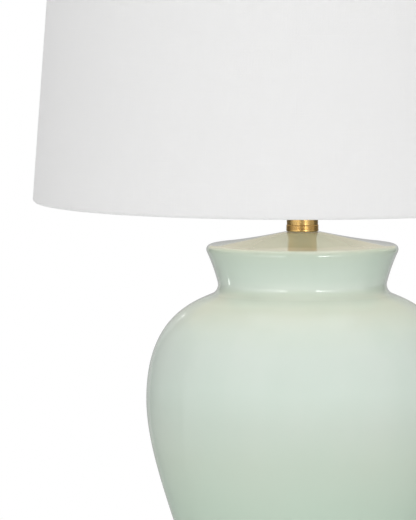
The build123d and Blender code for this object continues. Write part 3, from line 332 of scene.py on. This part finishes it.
# ---- Mesh helpers ----
def new_piece(name, points, faces, uvs=None):
    """A smooth-shaded mesh object; uvs holds one (u, v) for each corner of each face."""
    mesh = bpy.data.meshes.new(name)
    mesh.from_pydata(points, [], faces)
    if uvs:
        layer = mesh.uv_layers.new(name="metres")
        flat = [value for face in uvs for corner in face for value in corner]
        layer.data.foreach_set("uv", flat)
    mesh.shade_smooth()
    mesh.set_sharp_from_angle(angle=math.radians(SHARP_ANGLE))
    mesh.update()
    piece = bpy.data.objects.new(name, mesh)
    bpy.context.scene.collection.objects.link(piece)
    return piece


def lathe(name, line, closed=False, segments=SEGMENTS, warp=None):
    """Turns a line about the lamp's axis. The line goes up on the outside; warp may move a point."""
    ring_count = len(line)
    points = []
    for step in range(segments):
        angle = 2 * math.pi * step / segments
        for radius, height in line:
            point = (radius * math.cos(angle), radius * math.sin(angle), height)
            points.append(warp(point) if warp else point)
    lengths = [0.0]
    for before, here in zip(line, line[1:] + line[:1]):
        lengths.append(lengths[-1] + math.dist(before, here))
    girth = 2 * math.pi * sum(radius for radius, _ in line) / ring_count
    faces, uvs = [], []
    for step in range(segments):
        here, there = step * ring_count, (step + 1) % segments * ring_count
        u_here, u_there = girth * step / segments, girth * (step + 1) / segments
        for row in range(ring_count if closed else ring_count - 1):
            above = (row + 1) % ring_count
            v_here, v_above = lengths[row], lengths[row + 1]
            faces.append((here + row, there + row, there + above, here + above))
            uvs.append([(u_here, v_here), (u_there, v_here), (u_there, v_above), (u_here, v_above)])
    return new_piece(name, points, faces, uvs)


# ---- Material helpers ----
def new_material(name, **sockets):
    """A material with one Principled shader, and these values on its sockets."""
    material = bpy.data.materials.new(name)
    material.use_nodes = True
    shader = material.node_tree.nodes["Principled BSDF"]
    for socket, value in sockets.items():
        shader.inputs[socket.replace("_", " ")].default_value = value
    return material, material.node_tree, shader


def empty_material(name):
    """A material with no nodes yet."""
    material = bpy.data.materials.new(name)
    material.use_nodes = True
    material.node_tree.nodes.clear()
    return material, material.node_tree


def add(tree, kind, inputs=None, **settings):
    """Adds a node. inputs maps a socket's name or number to a value or to another node's output."""
    made = tree.nodes.new("ShaderNode" + kind)
    for name, value in settings.items():
        setattr(made, name, value)
    for socket, value in (inputs or {}).items():
        if isinstance(value, bpy.types.NodeSocket):
            tree.links.new(value, made.inputs[socket])
        else:
            made.inputs[socket].default_value = value
    return made


def maths(tree, operation, first, second):
    """The output of one sum."""
    return add(tree, "Math", {0: first, 1: second}, operation=operation).outputs[0]


def noise_value(tree, place, scale, detail=3.0, roughness=0.5):
    """The output of a noise texture."""
    sockets = {"Vector": place, "Scale": scale, "Detail": detail, "Roughness": roughness}
    return add(tree, "TexNoise", sockets).outputs["Fac"]


def spread(tree, value, low, high, to_low=0.0, to_high=1.0, smooth=False):
    """Maps a value from one range to another, and keeps it there."""
    kind = "SMOOTHSTEP" if smooth else "LINEAR"
    sockets = {"Value": value, "From Min": low, "From Max": high, "To Min": to_low, "To Max": to_high}
    return add(tree, "MapRange", sockets, interpolation_type=kind).outputs["Result"]


def middle_of(tree, value, to_low=0.0, to_high=1.0):
    """A noise's middle range, in which nearly all of it lies, mapped to this range."""
    return spread(tree, value, 0.3, 0.7, to_low, to_high)


def mixed(tree, share, first, second):
    """The output of a mix of two colours, each a colour or another node's output."""
    sides = [side if isinstance(side, bpy.types.NodeSocket) else (*side, 1.0) for side in (first, second)]
    return add(tree, "Mix", {0: share, 6: sides[0], 7: sides[1]}, data_type="RGBA").outputs[2]


def object_place(tree):
    """The point's place in the object, which is its place in the frame at rest."""
    return add(tree, "TexCoord").outputs["Object"]


def stretched(tree, place, scale):
    """The place, scaled along each axis."""
    return add(tree, "Mapping", {"Vector": place, "Scale": scale}).outputs["Vector"]


def bump(tree, shader, height, distance):
    """Gives the shader a bump from a height of 0 to 1, this many metres deep."""
    made = add(tree, "Bump", {"Height": height, "Distance": distance, "Strength": 1.0})
    tree.links.new(made.outputs["Normal"], shader.inputs["Normal"])


# ---- Materials ----
def glaze(name):
    """Pale celadon glaze over a light clay: darker low down, paler high up with painted light in bands,
    deeper where it pools.
    """
    material, tree, shader = new_material(name, Roughness=0.09, IOR=1.5, Coat_Roughness=0.05)
    place = object_place(tree)
    height = add(tree, "SeparateXYZ", {0: place}).outputs["Z"]
    wander = maths(tree, "SUBTRACT", noise_value(tree, place, WANDER_SCALE), 0.5)
    wander = maths(tree, "MULTIPLY", wander, WANDER)
    level = spread(tree, maths(tree, "ADD", height, wander), FOOT_Z, SEAT_Z)
    ramp = add(tree, "ValToRGB", {0: level})
    elements = ramp.color_ramp.elements
    for spot, _ in GLAZE_AND_PAINTED_LIGHT_BY_HEIGHT[1:-1]:
        elements.new(spot)
    for element, (_, colour) in zip(elements, GLAZE_AND_PAINTED_LIGHT_BY_HEIGHT):
        element.color = (*colour, 1.0)
    streaks = noise_value(tree, stretched(tree, place, STREAK_SCALE), 1.0, detail=5.0)
    streaks = middle_of(tree, streaks, 0.0, STREAK_SHARE)
    clouds = middle_of(tree, noise_value(tree, place, CLOUD_SCALE, detail=2.0), 0.0, CLOUD_SHARE)
    depth = maths(tree, "ADD", streaks, clouds)
    # The colour by height, with its painted highlights, painted reflection and painted shadow, deepened in
    # streaks and clouds.
    glaze_and_painted_light = mixed(tree, depth, ramp.outputs["Color"], GLAZE_DEEP)
    edge = maths(tree, "MULTIPLY", noise_value(tree, place, BARE_SCALE), BARE_WANDER)
    edge = maths(tree, "ADD", height, edge)
    bare = spread(tree, edge, FOOT_Z + BARE_CLAY[0], FOOT_Z + BARE_CLAY[1], 1.0, 0.0)
    clay = mixed(tree, noise_value(tree, place, CLAY_GRAIN), CLAY, PALE_CLAY)
    tree.links.new(mixed(tree, bare, glaze_and_painted_light, clay), shader.inputs["Base Color"])
    rough = middle_of(tree, noise_value(tree, place, ROUGHNESS_SCALE), *GLAZE_ROUGHNESS)
    rough = maths(tree, "ADD", rough, maths(tree, "MULTIPLY", bare, CLAY_ROUGHNESS))
    tree.links.new(rough, shader.inputs["Roughness"])
    tree.links.new(spread(tree, level, COATED_FROM, COATED_TO), shader.inputs["Coat Weight"])
    bump(tree, shader, noise_value(tree, place, RIPPLE_SCALE, detail=2.0), RIPPLE_DEPTH)
    return material


def linen(name):
    """White linen in a plain weave, with thicker threads here and there and painted shadow between its
    threads.
    """
    material, tree, shader = new_material(name, Roughness=0.92, Sheen_Weight=0.25, Sheen_Roughness=0.6)
    shader.inputs["Specular IOR Level"].default_value = 0.2
    place = add(tree, "UVMap", uv_map="metres").outputs["UV"]
    wave = {"Vector": place, "Scale": 1 / WAVE_BANDS / THREAD_PITCH}
    wobble = {"Distortion": 0.35, "Detail": 1.0, "Detail Scale": 0.15}
    waves = [add(tree, "TexWave", {**wave, **wobble}, bands_direction=axis) for axis in ("X", "Y")]
    across, along = [made.outputs["Fac"] for made in waves]
    over = add(tree, "TexChecker", {"Vector": place, "Scale": 1 / THREAD_PITCH}).outputs["Fac"]
    under = maths(tree, "MULTIPLY", along, maths(tree, "SUBTRACT", 1.0, over))
    weave = maths(tree, "ADD", maths(tree, "MULTIPLY", across, over), under)
    slubs = [noise_value(tree, stretched(tree, place, scale), 1.0, detail=2.0) for scale in SLUBS]
    thick = maths(tree, "ADD", *[spread(tree, slub, *SLUB_RANGE) for slub in slubs])
    # A thread's top is painted paler than the painted shadow between the threads; a thick thread is paler
    # too.
    paler = [maths(tree, "MULTIPLY", thick, SLUB_SHARE), maths(tree, "MULTIPLY", weave, WEAVE_SHADE_SHARE)]
    colour = mixed(tree, maths(tree, "ADD", *paler), LINEN, LINEN_HIGH)
    tree.links.new(colour, shader.inputs["Base Color"])
    bump(tree, shader, maths(tree, "ADD", weave, thick), WEAVE_DEPTH)
    return material


def lining(name):
    """The shade's white plastic lining, with a faint moulded grain."""
    material, tree, shader = new_material(name, Roughness=0.55)
    place = object_place(tree)
    cloudy = middle_of(tree, noise_value(tree, place, LINING_CLOUDS, detail=2.0))
    tree.links.new(mixed(tree, cloudy, LINING, LINING_PALE), shader.inputs["Base Color"])
    bump(tree, shader, noise_value(tree, place, LINING_GRAIN), LINING_GRAIN_DEPTH)
    return material


def bulb_glass(name):
    """Soft white frosted glass, a little uneven in its coat."""
    sockets = {"Roughness": 0.28, "IOR": 1.5, "Coat_Weight": 0.4, "Coat_Roughness": 0.12}
    material, tree, shader = new_material(name, **sockets)
    coat = middle_of(tree, noise_value(tree, object_place(tree), BULB_CLOUDS))
    tree.links.new(mixed(tree, coat, BULB_COAT, BULB_COAT_PALE), shader.inputs["Base Color"])
    return material


def brass(name, colour, dark, roughness, patina, turned):
    """Brass, brushed or turned, with a darker patina in patches and fine lines in its gloss."""
    material, tree, shader = new_material(name, Metallic=1.0, Roughness=roughness)
    place = object_place(tree)
    patches = noise_value(tree, place, PATINA_SCALE, detail=4.0, roughness=0.6)
    grain = TURNED_LINES if turned else BRUSHED_GRAIN
    lines = noise_value(tree, stretched(tree, place, grain), 1.0, detail=2.0)
    share = maths(tree, "MULTIPLY", spread(tree, patches, *PATINA_RANGE), patina)
    share = maths(tree, "ADD", share, middle_of(tree, lines, 0.0, LINE_SHARE))
    tree.links.new(mixed(tree, share, colour, dark), shader.inputs["Base Color"])
    dull = spread(tree, patches, 0.3, 0.8, 0.0, PATINA_DULLNESS)
    rough = maths(tree, "ADD", middle_of(tree, lines, *LINE_ROUGHNESS), dull)
    tree.links.new(maths(tree, "ADD", rough, roughness), shader.inputs["Roughness"])
    if turned:
        shader.inputs["Anisotropic"].default_value = TURNED_STRETCH
        tangent = add(tree, "Tangent", direction_type="RADIAL", axis="Z")
        tree.links.new(tangent.outputs["Tangent"], shader.inputs["Tangent"])
    bump(tree, shader, lines, TURNED_DEPTH if turned else BRUSHED_DEPTH)
    return material


def bare_metal(name, colour, dull, roughness):
    """Steel, aluminium or solder, with a fine grain and dull spots."""
    material, tree, shader = new_material(name, Metallic=1.0, Roughness=roughness)
    place = object_place(tree)
    fine = noise_value(tree, place, METAL_GRAIN)
    spots = noise_value(tree, place, METAL_SPOTS)
    spots = spread(tree, spots, *METAL_SPOT_RANGE, 0.0, METAL_SPOT_SHARE)
    share = maths(tree, "ADD", spots, middle_of(tree, fine, 0.0, METAL_GRAIN_SHARE))
    tree.links.new(mixed(tree, share, colour, dull), shader.inputs["Base Color"])
    rough = middle_of(tree, fine, *[roughness + more for more in METAL_GRAIN_ROUGHNESS])
    tree.links.new(rough, shader.inputs["Roughness"])
    bump(tree, shader, fine, METAL_GRAIN_DEPTH)
    return material


def plain_solid(name, colour, other, roughness, grain, depth, sheen):
    """A painted, moulded or fibrous material: two tones mixed by a fine and a coarse grain."""
    material, tree, shader = new_material(name, Roughness=roughness, Sheen_Weight=sheen)
    place = object_place(tree)
    fine = noise_value(tree, place, grain, detail=4.0)
    coarse = middle_of(tree, noise_value(tree, place, grain / COARSER), 0.0, COARSE_SHARE)
    share = maths(tree, "ADD", middle_of(tree, fine, 0.0, FINE_SHARE), coarse)
    tree.links.new(mixed(tree, share, colour, other), shader.inputs["Base Color"])
    bump(tree, shader, fine, depth)
    return material


OWN_MATERIALS = {
    "celadon_glaze": glaze,
    "shade_linen": linen,
    "shade_lining": lining,
    "bulb_glass": bulb_glass,
}
materials_made = {}


def material_of(slot):
    """The material of one of the record's slots, made when it is first asked for."""
    if slot not in materials_made:
        if slot in OWN_MATERIALS:
            materials_made[slot] = OWN_MATERIALS[slot](slot)
        for table, maker in ((BRASSES, brass), (METALS, bare_metal), (SOLIDS, plain_solid)):
            if slot in table:
                materials_made[slot] = maker(slot, *table[slot])
    return materials_made[slot]


def finish_in(piece, slot):
    """Gives a piece the material of one of the record's slots."""
    piece.data.materials.clear()
    piece.data.materials.append(material_of(slot))


def place_piece(piece, body, slot, *nodes):
    """Finishes a piece, puts it on its body, and hides the nodes that it stands for."""
    finish_in(piece, slot)
    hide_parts(*nodes)
    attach(piece, body)
    return piece


# ---- Studio ----
def direction(azimuth, elevation):
    """The way from the lamp towards a place round it."""
    turn, tilt = math.radians(azimuth), math.radians(elevation)
    return Vector((math.sin(turn) * math.cos(tilt), -math.cos(turn) * math.cos(tilt), math.sin(tilt)))


def make_camera():
    """A long lens straight in front, turned so that the lamp's axis falls where the photograph has it."""
    data = bpy.data.cameras.new("camera")
    data.sensor_width = SENSOR
    data.lens = FOCAL_PIXELS / IMAGE_HEIGHT * SENSOR
    camera = bpy.data.objects.new("camera", data)
    bpy.context.scene.collection.objects.link(camera)
    level = Matrix.Rotation(math.radians(90 - CAMERA_DIP), 4, "X")
    to_left = Matrix.Rotation(math.atan((AXIS_X - IMAGE_WIDTH / 2) / FOCAL_PIXELS), 4, "Y")
    further_down = Matrix.Rotation(-math.atan((IMAGE_HEIGHT / 2 - AXIS_Y) / FOCAL_PIXELS), 4, "X")
    camera.matrix_world = Matrix.Translation(CAMERA_PLACE) @ level @ to_left @ further_down
    bpy.context.scene.camera = camera


def mirrored_rays(tree):
    """1 for a ray off gloss or through glass."""
    path = add(tree, "LightPath").outputs
    return maths(tree, "MAXIMUM", path["Is Glossy Ray"], path["Is Transmission Ray"])


def camera_rays(tree):
    """1 for a ray straight from the camera."""
    return add(tree, "LightPath").outputs["Is Camera Ray"]


def make_world():
    """Even light from all round, and white for what the camera, gloss and glass see of it."""
    world = bpy.data.worlds.new("studio")
    bpy.context.scene.world = world
    world.use_nodes = True
    tree = world.node_tree
    tree.nodes.clear()
    seen = maths(tree, "MAXIMUM", camera_rays(tree), mirrored_rays(tree))
    lighting = add(tree, "Background", {"Color": (*WHITE, 1.0), "Strength": WORLD_LIGHT})
    backdrop = add(tree, "Background", {"Color": (*WHITE, 1.0), "Strength": 1.0})
    either = add(tree, "MixShader", {0: seen, 1: lighting.outputs[0], 2: backdrop.outputs[0]})
    tree.links.new(either.outputs[0], add(tree, "OutputWorld").inputs["Surface"])


def floor_material():
    """Pale near the lamp, where it takes the shadow, white further out and in gloss, clear from below."""
    material, tree = empty_material("floor")
    distance = add(tree, "VectorMath", {0: object_place(tree)}, operation="LENGTH").outputs["Value"]
    fade = spread(tree, distance, *SHADOW_FADE, smooth=True)
    far = maths(tree, "MULTIPLY", fade, camera_rays(tree))
    ground = add(tree, "BsdfDiffuse", {"Color": (*FLOOR_COLOUR, 1.0)})
    white = add(tree, "Emission", {"Color": (*WHITE, 1.0), "Strength": 1.0})
    share = maths(tree, "MAXIMUM", far, mirrored_rays(tree))
    top = add(tree, "MixShader", {0: share, 1: ground.outputs[0], 2: white.outputs[0]})
    under = add(tree, "BsdfTransparent")
    below = add(tree, "NewGeometry").outputs["Backfacing"]
    either = add(tree, "MixShader", {0: below, 1: top.outputs[0], 2: under.outputs[0]})
    tree.links.new(either.outputs[0], add(tree, "OutputMaterial").inputs["Surface"])
    return material


def make_floor():
    """One large flat sheet at the lamp's foot."""
    half = FLOOR_SIZE / 2
    corners = [(-half, -half, 0.0), (half, -half, 0.0), (half, half, 0.0), (-half, half, 0.0)]
    floor = new_piece("floor", corners, [(0, 1, 2, 3)])
    floor.data.materials.append(floor_material())


def area_light(name, place, way, size, radiance):
    """A rectangular light that faces back along the way. Its power follows from its size and radiance."""
    data = bpy.data.lights.new(name, "AREA")
    data.shape = "RECTANGLE"
    data.size, data.size_y = size
    data.energy = radiance * math.pi * size[0] * size[1]
    light = bpy.data.objects.new(name, data)
    bpy.context.scene.collection.objects.link(light)
    light.location = place
    light.rotation_mode = "QUATERNION"
    light.rotation_quaternion = way.to_track_quat("Z", "Y")
    light.visible_camera = False
    return light


def make_lights():
    """Large soft lights that gloss doesn't show, and small near ones for the glints in the glaze.

    A small light's narrow spread keeps it to the spot where the glaze mirrors it.
    """
    for name, azimuth, elevation, distance, size, radiance in SOFT_LIGHTS:
        way = direction(azimuth, elevation)
        area_light(name, AIM + way * distance, way, size, radiance).visible_glossy = False
    half = math.radians(SPARK_SPREAD) / 2
    for name, (radius, azimuth, height), towards, size, radiance in SPARKS:
        spot = direction(azimuth, 0.0) * radius + Vector((0.0, 0.0, height))
        way = direction(*towards)
        narrowed = radiance * (1 - half / math.tan(half))
        area_light(name, spot + way * SPARK_DISTANCE, way, size, narrowed).data.spread = 2 * half


def make_card(name, first, last, near, far, near_tone, far_tone, tint):
    """A band bent round the lamp between two azimuths, which glows from one edge's tone to the other's.

    Only gloss sees it.
    """
    steps = max(2, round((last - first) / CARD_STEP))
    points, faces, uvs = [], [], []
    for step in range(steps + 1):
        way = direction(first + (last - first) * step / steps, 0.0)
        for distance, height in (near, far):
            points.append((way.x * distance, way.y * distance, height))
        if step:
            base = 2 * step
            faces.append((base - 2, base, base + 1, base - 1))
            u, u_next = (step - 1) / steps, step / steps
            uvs.append([(u, 0.0), (u_next, 0.0), (u_next, 1.0), (u, 1.0)])
    card = new_piece(name, points, faces, uvs)
    material, tree = empty_material(name)
    across = add(tree, "SeparateXYZ", {0: add(tree, "UVMap", uv_map="metres").outputs["UV"]}).outputs["Y"]
    tone = spread(tree, across, 0.0, 1.0, near_tone, far_tone)
    shown = add(tree, "Emission", {"Color": (*tint, 1.0), "Strength": tone}).outputs[0]
    tree.links.new(shown, add(tree, "OutputMaterial").inputs["Surface"])
    card.data.materials.append(material)
    for ray in ("camera", "diffuse", "transmission", "volume_scatter", "shadow"):
        setattr(card, "visible_" + ray, False)


# ---- Jar ----
def jar_line():
    """The jar's whole outline, from the hole in its floor, out and up, to the hole in its top."""
    foot_top = FOOT_Z + FOOT_STRAIGHT
    floor_z = FOOT_Z + RECESS_DEPTH
    recess_radius = FOOT_RADIUS - FOOT_RING_WIDTH
    crease, rim, seat_edge = (CREASE_RADIUS, CREASE_Z), (RIM_RADIUS, RIM_Z), (SEAT_RADIUS, SEAT_Z)
    floor_under = straight((PIPE_HOLE_RADIUS, floor_z), (recess_radius, floor_z), count=12)
    recess = straight((recess_radius, floor_z), (recess_radius, FOOT_Z), count=6)
    ring = straight((recess_radius, FOOT_Z), (FOOT_RADIUS, FOOT_Z), count=3)
    band = straight((FOOT_RADIUS, FOOT_Z), (FOOT_RADIUS, foot_top), count=4)
    side = bezier(
        (FOOT_RADIUS, foot_top),
        (FOOT_RADIUS, foot_top + FOOT_HANDLE),
        (BELLY_RADIUS, BELLY_Z - LOWER_BELLY_HANDLE),
        (BELLY_RADIUS, BELLY_Z),
        count=60,
    )
    shoulder = bezier(
        (BELLY_RADIUS, BELLY_Z),
        (BELLY_RADIUS, BELLY_Z + UPPER_BELLY_HANDLE),
        handle(crease, -SHOULDER_SLOPE, SHOULDER_HANDLE),
        crease,
        count=56,
    )
    flare = hollow_arc(crease, rim, FLARE_HOLLOW, count=20)
    top = bezier(
        rim,
        handle(rim, 180 - TOP_RIM_SLOPE, TOP_RIM_HANDLE),
        handle(seat_edge, -TOP_SEAT_SLOPE, TOP_SEAT_HANDLE),
        seat_edge,
        count=32,
    )
    seat = straight(seat_edge, (PIPE_HOLE_RADIUS, SEAT_Z), count=2)
    hole = straight((PIPE_HOLE_RADIUS, SEAT_Z), (PIPE_HOLE_RADIUS, SEAT_Z - PIPE_HOLE_SHOWN), count=2)
    line = join_rounded(floor_under, recess, RECESS_ROUND)
    line = join_rounded(line, ring, FOOT_INNER_ROUND)
    line = join_rounded(line, band, FOOT_ROUND)
    line = line[:-1] + side[:-1] + shoulder
    line = join_rounded(line, flare, CREASE_ROUND, count=18)
    line = join_rounded(line, top, LIP_ROUND, count=14)
    return line[:-1] + seat[:-1] + hole


def uneven(point):
    """The point moved inward a little, unevenly as on a cast and glazed wall, but not at foot and seat."""
    place = Vector(point)
    out = Vector((place.x, place.y, 0.0)).normalized()
    from_foot, from_seat = abs(place.z - FOOT_Z), abs(place.z - SEAT_Z)
    share = min(1.0, from_foot / EVEN_FROM_FOOT, from_seat / EVEN_FROM_SEAT)
    return place - out * (WALL_UNEVENNESS * (1 + noise.noise(place * WALL_WAVES)) * share)


def make_jar():
    """The glazed jar, with its foot, its closed top and the holes for the pipe."""
    place_piece(lathe("jar", jar_line(), warp=uneven), "base", "celadon_glaze", "jar_body")


# ---- Brass neck ----
def make_neck():
    """The turned collar with its fine grooves, and the tube on it."""
    low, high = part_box("neck_collar")
    radius, bore = high.x, COLLAR_BORE_RADIUS
    top_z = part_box("neck_tube")[0].z
    line = [(bore, low.z), (radius - COLLAR_EDGE, low.z), (radius, low.z + COLLAR_FOOT_EDGE)]
    for groove in range(GROOVES):
        middle = low.z + GROOVE_Z + groove * GROOVE_PITCH
        line += [
            (radius, middle - GROOVE_HALF),
            (radius - GROOVE_DEPTH, middle - GROOVE_FLOOR_HALF),
            (radius - GROOVE_DEPTH, middle + GROOVE_FLOOR_HALF),
            (radius, middle + GROOVE_HALF),
        ]
    line += [(radius, top_z - COLLAR_EDGE), (radius - COLLAR_EDGE, top_z), (bore, top_z)]
    collar = lathe("neck_collar_turned", line, closed=True, segments=NECK_SEGMENTS)
    place_piece(collar, "base", "aged_brass", "neck_collar")
    low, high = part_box("neck_tube")
    radius, inner = high.x, high.x - TUBE_WALL
    line = [(inner, low.z), (radius - TUBE_EDGE, low.z), (radius, low.z + TUBE_EDGE)]
    line += [(radius, high.z), (inner, high.z)]
    tube = lathe("neck_tube_turned", line, closed=True, segments=NECK_SEGMENTS)
    place_piece(tube, "base", "aged_brass", "neck_tube")


# ---- Shade ----
def shade_measures():
    """The two ring wires' (radius, height), the ways up and out between them, and their distance."""
    low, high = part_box("bottom_ring")
    bottom = Vector((high.x - SHADE_WIRE_RADIUS, (low.z + high.z) / 2))
    ring_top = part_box("spider")[1]
    top = Vector((ring_top.y - SHADE_WIRE_RADIUS, ring_top.z - SHADE_WIRE_RADIUS))
    along = (top - bottom).normalized()
    return bottom, top, along, Vector((along.y, -along.x)), (top - bottom).length


def arc_round(centre, radius, first, last):
    """Points on an arc, by its angles from the outward level direction, in radians."""
    line = []
    for step in range(ROLL_STEPS + 1):
        angle = first + (last - first) * step / ROLL_STEPS
        line.append((centre.x + radius * math.cos(angle), centre.y + radius * math.sin(angle)))
    return line


def cloth_line():
    """The cloth's closed section: the outside, rolled round both wires, and the hems inside."""
    bottom, top, along, outward, length = shade_measures()
    lean = math.atan2(outward.y, outward.x)

    def side(radius, start, end, count):
        spots = [start + (end - start) * step / count for step in range(count + 1)]
        return [tuple(bottom + along * spot + outward * radius) for spot in spots]

    outer = arc_round(bottom, SHADE_EDGE, lean - math.pi, lean)
    outer += side(SHADE_EDGE, 0.0, length, SIDE_STEPS)[1:-1]
    outer += arc_round(top, SHADE_EDGE, lean, lean + math.pi)
    outer += side(-SHADE_EDGE, length, length - HEM_LENGTH, HEM_STEPS)[1:]
    inner = side(-HEM_RADIUS, length - HEM_LENGTH, length, HEM_STEPS)[:-1]
    inner += arc_round(top, HEM_RADIUS, lean + math.pi, lean)
    inner += side(HEM_RADIUS, length, 0.0, SIDE_STEPS)[1:-1]
    inner += arc_round(bottom, HEM_RADIUS, lean, lean - math.pi)
    inner += side(-HEM_RADIUS, 0.0, HEM_LENGTH, HEM_STEPS)[1:]
    return outer + inner + side(-SHADE_EDGE, HEM_LENGTH, 0.0, HEM_STEPS)[:-1]


def seam_mesh():
    """The lapped seam down the back, a strip that rises a little from the cloth between its edges."""
    bottom, _, along, outward, length = shade_measures()
    points, faces, uvs = [], [], []
    for row in range(SEAM_ROWS + 1):
        for column in range(SEAM_COLUMNS + 1):
            share = column / SEAM_COLUMNS
            rise = SEAM_THICKNESS * min(1.0, share / SEAM_FEATHER, (1 - share) / SEAM_FEATHER)
            spot = bottom + along * (length * row / SEAM_ROWS) + outward * (SHADE_EDGE + rise)
            angle = math.pi / 2 + (share - 0.5) * SEAM_WIDTH / spot.x
            points.append((spot.x * math.cos(angle), spot.x * math.sin(angle), spot.y))
    for row in range(SEAM_ROWS):
        for column in range(SEAM_COLUMNS):
            first = row * (SEAM_COLUMNS + 1) + column
            above = first + SEAM_COLUMNS + 1
            faces.append((first, above, above + 1, first + 1))
            u, v = column * SEAM_WIDTH / SEAM_COLUMNS, row * length / SEAM_ROWS
            u_next, v_next = u + SEAM_WIDTH / SEAM_COLUMNS, v + length / SEAM_ROWS
            uvs.append([(u, v), (u, v_next), (u_next, v_next), (u_next, v)])
    return new_piece("shade_lap", points, faces, uvs)


def make_shade():
    """The linen cover with its rolled hems, and its seam."""
    cloth = lathe("shade_cloth", cloth_line(), closed=True)
    place_piece(cloth, "shade", "shade_linen", "shade_fabric")
    seam = place_piece(seam_mesh(), "shade", "shade_linen", "shade_seam")


def finish_nodes():
    """Every CAD node takes its slot's material."""
    for subpart in frame["record"]["subparts"]:
        finish_in(frame["nodes"][subpart["node"]], subpart["material_slot"])


bpy.context.scene.view_settings.view_transform = "Standard"
make_camera()
make_world()
make_floor()
make_lights()
for card in CARDS:
    make_card(*card)
finish_nodes()
make_jar()
make_neck()
make_shade()
